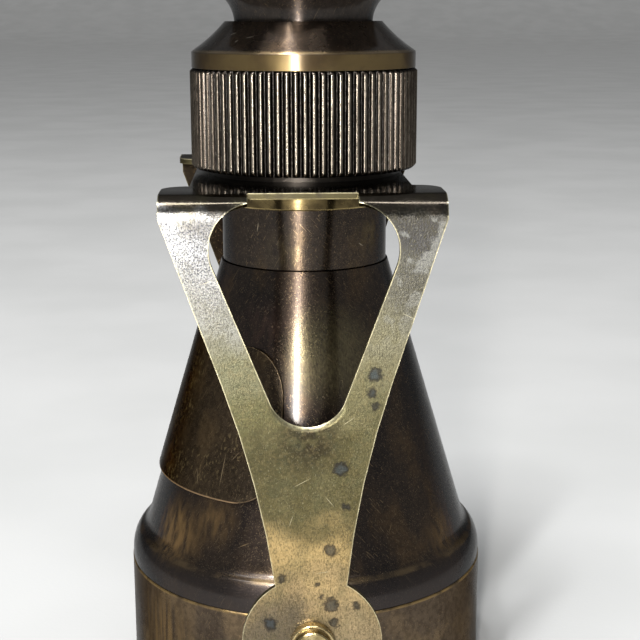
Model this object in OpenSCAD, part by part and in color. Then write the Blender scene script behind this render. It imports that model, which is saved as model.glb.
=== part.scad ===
// Short brass spyglass that stands on its objective bell, with a bent sheet yoke from bell to neck.
// The origin is on the optical axis in the plane of the bell's rim and +Z points to the eye.
// The two legs of the yoke are at -Y and +Y.

/* [Bell and objective] */
// Outside diameter of the bell
bell_d = 50; // [50:0.1:51]
// Length of the bell's straight wall
bell_len = 18; // [18:0.5:24]
// Wall of the bell
bell_wall = 1.6; // [1.5:0.1:1.8]
// Chamfer on the bell's edges
bell_chamfer = 0.3; // [0.1:0.1:0.5]
// Diameter of the open mouth in front of the objective cell
mouth_d = 47.4; // [47.2:0.1:47.8]
// Depth of the open mouth
mouth_depth = 4.4; // [4.2:0.1:4.6]
// Length of the objective cell
cell_len = 6.4; // [6.2:0.1:6.6]
// Wall of the objective cell round the lenses
cell_wall = 2.4; // [2:0.1:3]
// Width and height of the ledge that holds the lenses in their cell
cell_ledge = 1.4; // [1.2:0.1:1.6]
// Centre thickness of the crown lens
crown_t = 3.8; // [3.6:0.1:4]
// Radius of the crown lens's outer face
crown_r = 140; // [130:1:170]
// Radius of the cemented face between the crown and flint lenses
cement_r = 180; // [170:1:220]
// Edge thickness of the flint lens
flint_edge_t = 2.3; // [2.2:0.1:2.5]
// Width of the two key slots in the lens retaining rings
key_w = 1.2; // [0.8:0.1:1.6]

/* [Body] */
// Height of the body from the bell's top edge to the neck seam
body_len = 42.4; // [41:0.2:50]
// Diameter of the cone at the neck seam
cone_top_d = 23; // [22.9:0.1:24]
// How far the cone's line stands inside the bell at the bell's top edge
cone_inset = 0.8; // [0.6:0.1:1]
// Step in from the bell's wall to the body's round shoulder
shoulder_step = 0.1; // [0.05:0.05:0.3]
// Height of the shoulder from the bell's top edge to its crease
shoulder_h = 4; // [3.5:0.1:4.4]
// Radius of the shoulder's round
shoulder_r = 4.5; // [4.2:0.1:5.5]
// Radius of the hollow between the crease and the cone
hollow_r = 2.2; // [1.6:0.1:3]
// Wall of the body
body_wall = 1.2; // [1:0.1:1.3]
// Length of the skirt that screws into the bell
skirt_len = 6.6; // [6.3:0.1:6.8]
// Length of the socket that takes the neck
socket_len = 6; // [5:0.5:8]
// Height of the neck socket above the light stop
stop_drop = 9; // [6:0.5:12]
// Thickness of the light stop
stop_t = 0.8; // [0.6:0.1:1.2]

/* [Name plate] */
// Height of the plate's foot above the bell's top edge
plate_rise = 13.1; // [11:0.1:15]
// Height of the plate up the cone
plate_h = 19.7; // [14:0.1:21]
// Thickness of the plate
plate_t = 0.65; // [0.4:0.05:0.9]
// Part of the turn that the plate covers, in degrees
plate_arc = 157; // [120:1:162]
// Radius of the plate's corners
plate_corner_r = 6; // [3:0.5:6.5]

/* [Neck] */
// Diameter of the bare neck
neck_d = 22.5; // [22.2:0.1:22.8]
// Length of the bare neck
neck_len = 8; // [6:0.5:12]
// Diameter of the neck's reduced upper end, on which the focus ring turns
bearing_d = 21.8; // [21.6:0.1:22]
// Bore of the neck, in which the draw tube slides
neck_bore_d = 19.8; // [19.7:0.1:20]
// Diameter of the spigot in the body's socket
spigot_d = 20.8; // [20.6:0.1:21]
// Bore of the spigot
spigot_bore_d = 18.8; // [18.4:0.1:19]
// Diameter of the brass ring that carries the yoke
seat_ring_d = 23.3; // [23.1:0.1:24]
// Height of the brass ring that carries the yoke
seat_ring_h = 3.1; // [2:0.1:4]
// Diameter of the nut that clamps the yoke
clamp_nut_d = 26; // [25:0.1:27]
// Height of the nut that clamps the yoke
clamp_nut_h = 0.7; // [0.6:0.05:1]

/* [Yoke] */
// Thickness of the yoke's sheet
sheet_t = 0.8; // [0.6:0.05:1]
// Outside radius of the yoke's bends
bend_r = 2.5; // [2:0.1:2.6]
// Width of the yoke across its ears
ear_w = 34.6; // [34:0.1:36]
// Depth of the ears behind the start of the bend
ear_depth = 7.3; // [6.5:0.1:8]
// Radius of the ears' rear corners
ear_corner_r = 3; // [2:0.1:3.2]
// Width of the strip across the neck
strip_w = 27.9; // [27.4:0.1:28.4]
// Depth below the yoke's top at which the leg's sloping edge starts
ear_drop = 2.9; // [2.6:0.1:4]
// Height of the knee in the leg's outline above the screw
knee_rise = 34.3; // [33:0.1:36]
// Width of the leg at its knee
knee_w = 21; // [20:0.1:22]
// Radius of the leg's hollow edge from the knee down
flank_r = 128; // [126:1:136]
// Diameter of the leg's round end
end_d = 17.9; // [17:0.1:18.5]
// Height of the leg's screw above the bell's rim
screw_z = 15; // [14.8:0.1:15.2]
// Width of the slot through the bend
slot_w = 13.3; // [12:0.1:14]
// Depth of the slot behind the leg's outer face
slot_depth = 2.7; // [2.6:0.1:3.4]
// Depth of the window's lobes below the top of the yoke
lobe_drop = 6.6; // [6.5:0.1:7.5]
// Radius of the window's lobes
lobe_r = 5.75; // [5.4:0.05:5.8]
// Distance between the centres of the two lobes
lobe_span = 11.4; // [10.8:0.1:11.8]
// Height of the window's lower round above the screw
window_rise = 33.5; // [32.5:0.1:35]
// Radius of the window's lower round
window_foot_r = 4.9; // [4.4:0.1:5.2]
// How far the yoke's top stands off centre, towards -X
set_over = 0.86; // [0.02:0.02:1]

/* [Yoke screws] */
// Diameter of the screw's head
head_d = 5.7; // [5:0.1:6.4]
// Height of the head's lower drum
drum_h = 1.4; // [1.2:0.1:1.6]
// Height of the whole head
head_h = 2.4; // [2.2:0.1:3]
// Diameter of the head's front face
head_face_d = 4.6; // [4:0.1:4.8]
// Depth of the groove round the head
groove_depth = 0.3; // [0.2:0.05:0.4]
// Height of the groove round the head
groove_h = 0.2; // [0.1:0.05:0.3]
// Width of the screwdriver slot
slit_w = 0.8; // [0.6:0.1:1]
// Depth of the screwdriver slot
slit_depth = 0.8; // [0.6:0.1:1]
// Diameter of the screw's thread
thread_d = 3; // [2.6:0.1:3.2]
// Diameter of the tapped boss
boss_d = 6; // [5.5:0.1:6]

/* [Focus ring] */
// Diameter over the ribs
knurl_d = 30.6; // [30.4:0.1:32]
// Length of the ribbed ring
ring_len = 13.2; // [12.8:0.1:15]
// Number of ribs
rib_count = 83; // [60:1:90]
// Depth of the grooves between the ribs
rib_depth = 0.45; // [0.3:0.05:0.5]
// Part of the pitch taken by a rib's flat crest
crest_share = 0.3; // [0.2:0.05:0.4]
// Part of the pitch taken by a groove's floor
root_share = 0.2; // [0.1:0.05:0.3]
// Chamfer at both ends of the ribs
ring_chamfer = 0.4; // [0.3:0.05:0.6]
// Height of the ring's bearing on the neck
bearing_len = 6.8; // [6:0.1:7]
// Width of the ring that keeps the focus ring on the neck
keeper_w = 1.65; // [1.5:0.05:1.8]
// Height of the ring that keeps the focus ring on the neck
keeper_h = 1.6; // [1.2:0.1:1.8]
// Thickness of the friction washer under the keeper ring
washer_t = 0.3; // [0.2:0.05:0.4]
// Height of the nut that drives the draw tube
lead_nut_h = 2.2; // [1.8:0.1:2.4]

/* [Cap ring] */
// Diameter of the cap's flat band
band_d = 30.1; // [29.6:0.1:30.4]
// Height of the cap's flat band
band_h = 2.3; // [2:0.1:3]
// Height of the cap's hollow cone
cap_cone_h = 3.75; // [3.4:0.05:4.5]
// Diameter of the cap's top edge
cap_top_d = 21.1; // [20.8:0.1:22]
// Radius of the hollow in the cap's cone
cap_hollow_r = 20; // [14:0.5:30]
// Chamfer on the band's upper edge
band_chamfer = 0.2; // [0.1:0.05:0.3]
// Thickness of the cap's lip round the eyepiece
lip_t = 1.2; // [1:0.1:1.3]

/* [Eyepiece] */
// How far the eyepiece draws out
draw_travel = 4; // [2:0.1:4]
// Length of the draw tube
draw_len = 23; // [20:0.5:24]
// Wall of the draw tube
draw_wall = 0.85; // [0.7:0.05:0.9]
// Diameter of the eyecup's shank
shank_d = 18.5; // [18.4:0.1:18.8]
// Length of the shank's spigot in the draw tube
shank_spigot = 3; // [2:0.5:4]
// Depth of the flare's start below the cap's top
flare_drop = 0.25; // [0.1:0.05:0.6]
// Radius of the eyecup's flare
flare_r = 4.5; // [4:0.1:5]
// Turn of the flare, in degrees
flare_turn = 70; // [66:1:72]
// Diameter over the eyecup's rim
eyecup_d = 29.4; // [28.8:0.1:30.4]
// Height of the eyecup's rim, which is a full round
rim_h = 1.5; // [1.3:0.1:1.8]
// Diameter of the hole to look through
eye_hole_d = 9; // [7:0.5:10]
// Radius of the dish round the hole
dish_r = 26; // [24:1:32]
// Thickness of the eyecup's floor at the hole
floor_t = 1.2; // [1:0.1:1.4]
// Diameter of the eye lens
eye_lens_d = 13; // [12:0.2:13.2]
// Edge thickness of the eye lens
eye_lens_edge = 2.6; // [2.4:0.1:2.8]
// Radius of both hollow faces of the eye lens
eye_lens_r = 26; // [24:1:40]
// Length of the eye lens cell
eye_cell_len = 7.4; // [7:0.1:8]
// Height of the ledge and of the retaining ring at the eye lens
lock_h = 1.2; // [1:0.1:1.3]
// Width of the ledge at the eye lens
eye_ledge = 1.2; // [1:0.1:1.4]
// Diameter of the guide screw
guide_d = 1.6; // [1.2:0.1:2]
// Height of the guide screw above the focus ring's lower end
guide_rise = 3; // [2:0.1:4]

/* [Clearances] */
// Radial gap of the running and sliding fits
running_gap = 0.05; // [0.02:0.01:0.08]
// Radial gap between threaded pieces and round cemented glass
seat_gap = 0.05; // [0.02:0.01:0.08]
// Gap between the faces of pieces that move past each other
face_gap = 0.1; // [0.05:0.05:0.15]
// Radial gap round the keeper ring in the focus ring's chamber
keeper_gap = 0.4; // [0.3:0.05:0.5]
// Radial gap round the neck in the yoke and round a screw in its hole
pass_gap = 0.15; // [0.1:0.05:0.2]
// Gap at faces that lie on each other
lie_gap = 0.01; // [0.005:0.005:0.02]

/* [Hidden] */
$fn = 96;
fine = 720;
blunt = 0.05;
bronze = "#4a3826";
brass = "#b8a05c";
black = "#24211e";
glass_tint = "#bcd6dd";
past = 1;

// Bell and body
bell_r = bell_d / 2;
bell_bore_r = bell_r - bell_wall;
skirt_r = bell_bore_r - seat_gap;
skirt_bore_r = skirt_r - body_wall;
skirt_z = bell_len - skirt_len;
seam_z = bell_len + body_len;
cone_top_r = cone_top_d / 2;
cone_slope = (bell_r - cone_inset - cone_top_r) / body_len;
cone_angle = atan(cone_slope);
socket_z = seam_z - socket_len;
bore_step = body_wall / cos(cone_angle);
bore_knee_z = seam_z - (skirt_bore_r + bore_step - cone_top_r) / cone_slope;
function cone_r(z) = cone_top_r + (seam_z - z) * cone_slope;
function cone_bore_r(z) = cone_r(z) - bore_step;

// Shoulder: the centre of its round, its crease, and the centre of the hollow above it
round_x = bell_r - shoulder_step - shoulder_r;
crease_z = bell_len + shoulder_h;
round_z = crease_z - shoulder_r * 2 / 3;
crease_r = round_x + sqrt(pow(shoulder_r, 2) - pow(crease_z - round_z, 2));
crease_out = (crease_r - cone_r(crease_z)) * cos(cone_angle);
hollow_up = sqrt(2 * crease_out * hollow_r - pow(crease_out, 2));
hollow_x = crease_r + (hollow_r - crease_out) * cos(cone_angle) - hollow_up * sin(cone_angle);
hollow_z = crease_z + (hollow_r - crease_out) * sin(cone_angle) + hollow_up * cos(cone_angle);

// Objective
cell_z0 = mouth_depth;
cell_z1 = cell_z0 + cell_len;
cell_r = bell_bore_r - seat_gap;
cell_bore_r = cell_r - cell_wall;
glass_r = cell_bore_r - seat_gap;
aperture_r = cell_bore_r - cell_ledge;
glass_z1 = cell_z1 - cell_ledge;
flint_z0 = glass_z1 - flint_edge_t;
function sag(face_r, r) = face_r - sqrt(face_r * face_r - r * r);
cement_top_z = flint_z0 + sag(cement_r, glass_r);
crown_z0 = cement_top_z - crown_t;
crown_rest_z = crown_z0 + sag(crown_r, aperture_r);

// Name plate
plate_z0 = bell_len + plate_rise;
plate_z1 = plate_z0 + plate_h;

// Neck and yoke
neck_r = neck_d / 2;
bearing_r = bearing_d / 2;
neck_step_z = seam_z + neck_len;
strip_z0 = neck_step_z + seat_ring_h;
strip_z1 = strip_z0 + sheet_t;
clamp_z1 = strip_z1 + clamp_nut_h;
leg_y = bell_r + lie_gap;
leg_face_y = leg_y + sheet_t;
lean = atan(set_over / (strip_z1 - screw_z));

// Focus ring
ring_z0 = clamp_z1 + face_gap;
ledge_z = ring_z0 + bearing_len;
washer_z = ledge_z + face_gap / 2;
keeper_z = washer_z + washer_t;
neck_top_z = keeper_z + keeper_h;
lead_z0 = neck_top_z + face_gap;
lead_z1 = lead_z0 + lead_nut_h;
ring_z1 = ring_z0 + ring_len;
keeper_r = bearing_r + seat_gap + keeper_w;
chamber_r = keeper_r + keeper_gap;
band_r = band_d / 2;
band_z1 = ring_z1 + band_h;
cap_z1 = band_z1 + cap_cone_h;
cap_top_r = cap_top_d / 2;

// Eyepiece
draw_r = neck_bore_d / 2 - running_gap;
draw_bore_r = draw_r - draw_wall;
draw_z1 = cap_z1 - lip_t - draw_travel - face_gap;
draw_z0 = draw_z1 - draw_len;
neck_bore_z = draw_z0 - face_gap;
guide_z = ring_z0 + guide_rise;
shank_r = shank_d / 2;
spigot_r = draw_bore_r - seat_gap;
shank_bore_r = spigot_r - draw_wall;
flare_z = cap_z1 - flare_drop;
flare_x = shank_r + flare_r;
flare_end_x = flare_x - flare_r * cos(flare_turn);
flare_end_z = flare_z + flare_r * sin(flare_turn);
rim_r = eyecup_d / 2 - rim_h / 2;
rim_z = flare_end_z + (rim_r - flare_end_x) / tan(flare_turn) + rim_h / 2;
eyecup_z1 = rim_z + rim_h / 2;
hole_r = eye_hole_d / 2;
dish_z = eyecup_z1 + sqrt(dish_r * dish_r - rim_r * rim_r);
floor_z = dish_z - sqrt(dish_r * dish_r - hole_r * hole_r);
eye_seat_z = floor_z - floor_t;
eye_cell_r = shank_bore_r - seat_gap;
eye_bore_r = eye_lens_d / 2;
eye_glass_r = eye_bore_r - seat_gap;
eye_open_r = eye_bore_r - eye_ledge;
eye_lens_z1 = eye_seat_z - lie_gap - lock_h;
eye_lens_z0 = eye_lens_z1 - eye_lens_edge;

// A ring between two heights
module ring(outer, inner, z0, z1) {
    translate([0, 0, z0]) difference() {
        cylinder(r = outer, h = z1 - z0);
        translate([0, 0, -past]) cylinder(r = inner, h = z1 - z0 + 2 * past);
    }
}

// A drum along Y at the yoke screw's height, between two distances in front of the axis
module front_drum(r, y0, y1) {
    translate([0, -y0, screw_z]) rotate([90, 0, 0]) cylinder(r = r, h = y1 - y0);
}

// The same piece at the front and, turned half round, at the rear
module front_and_rear() {
    children();
    rotate([0, 0, 180]) children();
}

// Two crossed key slots in the face of a retaining ring
module keys(r, z0, z1) {
    for (turn = [0, 90])
        rotate([0, 0, turn]) translate([-r, -key_w / 2, z0]) cube([2 * r, key_w, z1 - z0]);
}

module bell() {
    color(bronze) difference() {
        rotate_extrude() difference() {
            translate([bell_bore_r, 0]) square([bell_wall, bell_len - lie_gap]);
            square([mouth_d / 2, mouth_depth]);
            for (z = [0, bell_len])
                translate([bell_r, z]) rotate(45) square(bell_chamfer * sqrt(2), center = true);
        }
        front_and_rear() front_drum(thread_d / 2 + pass_gap, skirt_bore_r - past, bell_r + past);
    }
}

module objective_cell() {
    color(black) rotate_extrude() difference() {
        translate([aperture_r, cell_z0]) square([cell_r - aperture_r, cell_len]);
        translate([0, cell_z0 - past]) square([cell_bore_r, glass_z1 - cell_z0 + past]);
    }
}

module objective_ring() {
    color(brass) difference() {
        ring(glass_r, aperture_r, cell_z0 + lie_gap, crown_rest_z - lie_gap);
        keys(cell_bore_r, cell_z0 - past, cell_z0 + (crown_rest_z - cell_z0) / 2);
    }
}

// Section of a drum of glass, from the axis out
module glass_section(r, z0, z1) {
    translate([0, z0]) square([r, z1 - z0]);
}

// Section of a ball that makes a lens face, its lowest point at z when up and its highest otherwise
module face_section(r, z, up) {
    translate([0, up ? z + r : z - r]) circle(r = r, $fn = fine);
}

module crown_lens() {
    color(glass_tint) rotate_extrude() intersection() {
        glass_section(glass_r, crown_z0, cement_top_z);
        face_section(crown_r, crown_z0, true);
        face_section(cement_r, cement_top_z - lie_gap, false);
    }
}

module flint_lens() {
    color(glass_tint) rotate_extrude() difference() {
        glass_section(glass_r, flint_z0, glass_z1 - lie_gap);
        face_section(cement_r, cement_top_z, false);
    }
}

// Outline of the body: cone, round shoulder and the hollow between them
module body_outline() {
    polygon([[0, bell_len], [cone_r(bell_len), bell_len], [cone_top_r, seam_z], [0, seam_z]]);
    translate([0, bell_len]) square([round_x, shoulder_h]);
    translate([0, bell_len]) square([round_x + shoulder_r, round_z - bell_len]);
    intersection() {
        translate([round_x, round_z]) circle(r = shoulder_r);
        translate([round_x, bell_len]) square([shoulder_r, shoulder_h]);
    }
    difference() {
        polygon([[crease_r, crease_z], [hollow_x, hollow_z],
            [hollow_x - hollow_r * cos(cone_angle), hollow_z - hollow_r * sin(cone_angle)],
            [cone_r(crease_z), crease_z]]);
        translate([hollow_x, hollow_z]) circle(r = hollow_r);
    }
}

module cone_body() {
    socket_r = spigot_d / 2 + seat_gap;
    color(bronze) difference() {
        rotate_extrude() difference() {
            union() {
                body_outline();
                translate([0, skirt_z]) square([skirt_r, skirt_len + past]);
            }
            polygon([[0, skirt_z - past], [skirt_bore_r, skirt_z - past], [skirt_bore_r, bore_knee_z],
                [cone_bore_r(socket_z), socket_z], [0, socket_z]]);
            square([socket_r, seam_z + past]);
        }
        front_and_rear() front_drum(thread_d / 2 + pass_gap, skirt_bore_r - past, bell_r + past);
    }
}

module light_stop() {
    z0 = socket_z - stop_drop;
    z1 = z0 + stop_t;
    open_r = spigot_bore_d / 2;
    color(black) rotate_extrude()
        polygon([[open_r, z0], [cone_bore_r(z0) - lie_gap, z0],
            [cone_bore_r(z1) - lie_gap, z1], [open_r, z1]]);
}

// What a square corner of the plate loses; side and up are 1 or -1
module plate_corner(side, up) {
    in = plate_corner_r - 4 * blunt;
    z = (up > 0 ? plate_z1 : plate_z0) - up * in;
    r = cone_r(z) + plate_t;
    turn = side > 0 ? (up > 0 ? 0 : 270) : (up > 0 ? 90 : 180);
    rotate([0, 0, 180 + side * (plate_arc / 2 - asin(in / r))])
        translate([0, 0, z]) rotate([90, 0, 90]) linear_extrude(2 * bell_r) rotate(turn)
            difference() {
                square(2 * plate_corner_r);
                circle(r = plate_corner_r);
            }
}

module name_plate() {
    out = plate_t / cos(cone_angle);
    lie = lie_gap / cos(cone_angle);
    color(bronze) difference() {
        rotate([0, 0, 180 - plate_arc / 2]) rotate_extrude(angle = plate_arc)
            polygon([[cone_r(plate_z0) + lie, plate_z0], [cone_r(plate_z0) + out, plate_z0],
                [cone_r(plate_z1) + out, plate_z1], [cone_r(plate_z1) + lie, plate_z1]]);
        for (side = [-1, 1])
            for (up = [-1, 1])
                plate_corner(side, up);
    }
}

module neck_tube() {
    color(bronze) difference() {
        union() {
            translate([0, 0, socket_z]) cylinder(d = spigot_d, h = socket_len + past);
            translate([0, 0, seam_z + lie_gap]) cylinder(r = neck_r, h = neck_len - lie_gap);
            translate([0, 0, seam_z + past]) cylinder(r = bearing_r, h = neck_top_z - seam_z - past);
        }
        translate([0, 0, socket_z - past]) cylinder(d = spigot_bore_d, h = neck_top_z);
        translate([0, 0, neck_bore_z]) cylinder(d = neck_bore_d, h = neck_top_z);
        translate([0, 0, guide_z]) rotate([-90, 0, 0])
            cylinder(d = guide_d + 2 * seat_gap, h = 2 * neck_r);
    }
}

module seat_ring() {
    color(brass) ring(seat_ring_d / 2, bearing_r + seat_gap, neck_step_z + lie_gap, strip_z0 - lie_gap);
}

module clamp_nut() {
    color(black) ring(clamp_nut_d / 2, bearing_r + seat_gap, strip_z1 + lie_gap, clamp_z1);
}

// Half of the sheet's bent section, from the axis out to one leg
module sheet_section() {
    bend_y = leg_face_y - bend_r;
    bend_z = strip_z1 - bend_r;
    translate([0, strip_z0]) square([bend_y, sheet_t]);
    translate([leg_y, 0]) square([sheet_t, bend_z]);
    intersection() {
        translate([bend_y, bend_z]) difference() {
            circle(r = bend_r);
            circle(r = bend_r - sheet_t);
        }
        translate([bend_y, bend_z]) square(bend_r);
    }
}

// Outline of a leg seen from the front, wider at the top than the ears
module leg_outline() {
    knee_x = knee_w / 2;
    knee_z = screw_z + knee_rise;
    slope = (ear_w / 2 - knee_x) / (strip_z1 - ear_drop - knee_z);
    tilt = atan(slope);
    top_z = strip_z1 + past;
    top_x = knee_x + slope * (top_z - knee_z);
    translate([0, screw_z]) circle(d = end_d);
    polygon([[-knee_x, knee_z], [knee_x, knee_z], [top_x, top_z], [-top_x, top_z]]);
    difference() {
        translate([-knee_x, screw_z]) square([knee_w, knee_rise]);
        for (side = [-1, 1])
            translate([side * (knee_x + flank_r * cos(tilt)), knee_z - flank_r * sin(tilt)])
                circle(r = flank_r, $fn = fine);
    }
}

// Outline of the window and of the slot above it
module window_outline() {
    lobe_x = lobe_span / 2;
    lobe_z = strip_z1 - lobe_drop;
    foot_z = screw_z + window_rise;
    way = norm([lobe_x, lobe_z - foot_z]);
    out_angle = atan2(lobe_z - foot_z, lobe_x) - 90 - asin((lobe_r - window_foot_r) / way);
    out_x = cos(out_angle);
    out_z = sin(out_angle);
    foot_in = window_foot_r - blunt;
    lobe_in = lobe_r - blunt;
    for (side = [-1, 1]) {
        translate([side * lobe_x, lobe_z]) circle(r = lobe_r);
        polygon([[0, foot_z], [side * foot_in * out_x, foot_z + foot_in * out_z],
            [side * (lobe_x + lobe_in * out_x), lobe_z + lobe_in * out_z],
            [side * lobe_x, lobe_z], [0, lobe_z]]);
    }
    translate([0, foot_z]) circle(r = window_foot_r);
    translate([-slot_w / 2, lobe_z]) square([slot_w, lobe_drop + past]);
}

// Outline of the strip and its ears seen from above, without the neck's hole
module strip_outline() {
    ear_y = leg_face_y - bend_r - ear_depth;
    in_y = ear_y + ear_corner_r;
    far_y = leg_face_y + past;
    in_x = ear_w / 2 - ear_corner_r;
    square([strip_w, 2 * far_y], center = true);
    for (turn = [0, 180]) rotate(turn) {
        translate([-ear_w / 2, in_y]) square([ear_w, far_y - in_y]);
        translate([-in_x, ear_y]) square([2 * in_x, far_y - ear_y]);
        for (x = [-in_x, in_x])
            translate([x, in_y]) circle(r = ear_corner_r);
    }
}

// A front-view outline, leaned over about the screw, as a bar through the whole yoke along Y
module leaned(length) {
    translate([0, length / 2, 0]) rotate([90, 0, 0]) linear_extrude(length)
        translate([0, screw_z]) rotate(lean) translate([0, -screw_z]) children();
}

module yoke() {
    width = 2 * ear_w;
    length = 4 * bell_r;
    slot_y = leg_face_y - slot_depth;
    color(brass) difference() {
        intersection() {
            front_and_rear() translate([-width / 2, 0, 0]) rotate([90, 0, 90])
                linear_extrude(width) sheet_section();
            leaned(length) leg_outline();
            translate([-set_over, 0, 0]) linear_extrude(strip_z1 + past) strip_outline();
        }
        difference() {
            leaned(length) window_outline();
            translate([-width / 2, -slot_y, 0]) cube([width, 2 * slot_y, strip_z1 + 2 * past]);
        }
        translate([0, 0, strip_z0 - past]) cylinder(r = bearing_r + pass_gap, h = sheet_t + 2 * past);
        front_and_rear() front_drum(thread_d / 2 + pass_gap, leg_y - past, leg_face_y + past);
    }
}

// A cheese-head screw at the front leg, its head outside
module yoke_screw() {
    tip_y = aperture_r + cell_ledge / 2;
    head_y = leg_face_y + lie_gap;
    color(brass) difference() {
        union() {
            front_drum(thread_d / 2, tip_y, head_y + lie_gap);
            translate([0, -head_y, screw_z]) rotate([90, 0, 0]) rotate_extrude()
                polygon([[0, 0], [head_d / 2, 0], [head_d / 2, drum_h],
                    [head_d / 2 - groove_depth, drum_h], [head_d / 2 - groove_depth, drum_h + groove_h],
                    [head_face_d / 2, head_h], [0, head_h]]);
        }
        translate([-head_d / 2, -head_y - head_h - past, screw_z - slit_w / 2])
            cube([head_d, slit_depth + past, slit_w]);
    }
}

// A tapped boss inside the skirt at the front
module screw_boss() {
    color(brass) difference() {
        intersection() {
            front_drum(boss_d / 2, aperture_r, bell_r);
            cylinder(r = skirt_bore_r - lie_gap, h = bell_len + boss_d);
        }
        front_drum(thread_d / 2 + seat_gap, aperture_r - past, bell_r);
    }
}

module yoke_screw_front() {
    yoke_screw();
}

module yoke_screw_rear() {
    rotate([0, 0, 180]) yoke_screw();
}

module screw_boss_front() {
    screw_boss();
}

module screw_boss_rear() {
    rotate([0, 0, 180]) screw_boss();
}

module keeper_ring() {
    color(brass) ring(keeper_r, bearing_r + seat_gap, keeper_z, neck_top_z);
}

module friction_washer() {
    color(black) ring(keeper_r, bearing_r + seat_gap, washer_z, keeper_z - lie_gap);
}

module guide_screw() {
    color(brass) translate([0, 0, guide_z]) rotate([-90, 0, 0]) translate([0, 0, draw_bore_r + face_gap])
        cylinder(d = guide_d, h = bearing_r - running_gap - draw_bore_r - face_gap);
}

// Section of the focus ring's ribbed outside
module rib_outline() {
    pitch = 360 / rib_count;
    crest = pitch * crest_share / 2;
    root = pitch * (1 - root_share) / 2;
    top = knurl_d / 2;
    low = top - rib_depth;
    polygon([for (i = [0:rib_count - 1]) for (k = [[-root, low], [-crest, top], [crest, top], [root, low]])
        [k[1] * cos(i * pitch + k[0]), k[1] * sin(i * pitch + k[0])]]);
}

module focus_ring() {
    outer_r = knurl_d / 2;
    in_r = outer_r - ring_chamfer;
    color(bronze) difference() {
        intersection() {
            translate([0, 0, ring_z0]) linear_extrude(ring_len) rib_outline();
            rotate_extrude() polygon([[0, ring_z0], [in_r, ring_z0], [outer_r, ring_z0 + ring_chamfer],
                [outer_r, ring_z1 - ring_chamfer], [in_r, ring_z1], [0, ring_z1]]);
        }
        translate([0, 0, ring_z0 - past]) cylinder(r = bearing_r + running_gap, h = ring_len + 2 * past);
        translate([0, 0, ledge_z]) cylinder(r = chamber_r, h = ring_len);
    }
}

module lead_nut() {
    color(brass) ring(chamber_r - seat_gap, draw_r + running_gap, lead_z0, lead_z1);
}

module cap_ring() {
    edge_x = band_r - band_chamfer;
    chord = [cap_top_r - edge_x, cap_z1 - band_z1];
    out = [chord[1], -chord[0]] / norm(chord);
    back = sqrt(pow(cap_hollow_r, 2) - pow(norm(chord) / 2, 2));
    lip_z = cap_z1 - lip_t;
    color(bronze) rotate_extrude() difference() {
        union() {
            difference() {
                polygon([[0, ring_z1 + lie_gap], [band_r, ring_z1 + lie_gap],
                    [band_r, band_z1 - band_chamfer], [edge_x, band_z1], [cap_top_r, cap_z1], [0, cap_z1]]);
                translate([edge_x + chord[0] / 2 + back * out[0], band_z1 + chord[1] / 2 + back * out[1]])
                    circle(r = cap_hollow_r);
            }
            translate([0, lead_z1 + lie_gap]) square([chamber_r - seat_gap, ring_z1 - lead_z1 + past]);
        }
        square([draw_r + 4 * face_gap, lip_z]);
        square([shank_r + running_gap, cap_z1 + past]);
    }
}

module draw_tube() {
    slot = guide_d + 2 * face_gap;
    color(bronze) difference() {
        ring(draw_r, draw_bore_r, draw_z0, draw_z1);
        translate([-slot / 2, 0, guide_z - draw_travel - slot / 2])
            cube([slot, 2 * draw_r, draw_travel + slot]);
    }
}

module eyecup() {
    color(black) rotate_extrude() difference() {
        union() {
            difference() {
                polygon([[0, draw_z1 + lie_gap], [shank_r, draw_z1 + lie_gap], [shank_r, flare_z],
                    [flare_x, flare_z], [flare_end_x, flare_end_z], [rim_r, rim_z - rim_h / 2],
                    [rim_r, eyecup_z1], [0, eyecup_z1]]);
                translate([flare_x, flare_z]) circle(r = flare_r);
            }
            translate([rim_r, rim_z]) circle(r = rim_h / 2);
            translate([0, draw_z1 - shank_spigot]) square([spigot_r, shank_spigot + past]);
        }
        translate([0, dish_z]) circle(r = dish_r);
        square([shank_bore_r, eye_seat_z]);
        square([hole_r, eyecup_z1]);
    }
}

module eye_cell() {
    z1 = eye_seat_z - lie_gap;
    z0 = z1 - eye_cell_len;
    color(black) rotate_extrude() difference() {
        translate([eye_open_r, z0]) square([eye_cell_r - eye_open_r, eye_cell_len]);
        translate([0, z0 - past]) square([eye_bore_r, eye_lens_z1 - z0 + past]);
    }
}

module eye_lens() {
    hollow = sag(eye_lens_r, eye_glass_r);
    color(glass_tint) rotate_extrude() difference() {
        glass_section(eye_glass_r, eye_lens_z0, eye_lens_z1 - lie_gap);
        face_section(eye_lens_r, eye_lens_z1 - hollow, true);
        face_section(eye_lens_r, eye_lens_z0 + hollow, false);
    }
}

module eye_lens_ring() {
    z1 = eye_lens_z0 - lie_gap;
    color(brass) difference() {
        ring(eye_glass_r, eye_open_r, z1 - lock_h, z1);
        keys(eye_bore_r, z1 - lock_h - past, z1 - lock_h / 2);
    }
}

bell();
objective_cell();
objective_ring();
crown_lens();
flint_lens();
cone_body();
light_stop();
name_plate();
neck_tube();
seat_ring();
yoke();
clamp_nut();
yoke_screw_front();
yoke_screw_rear();
screw_boss_front();
screw_boss_rear();
keeper_ring();
friction_washer();
guide_screw();
focus_ring();
lead_nut();
cap_ring();
draw_tube();
eyecup();
eye_cell();
eye_lens();
eye_lens_ring();
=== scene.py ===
import math

import bmesh
import bpy
from mathutils import Matrix, Vector


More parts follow.
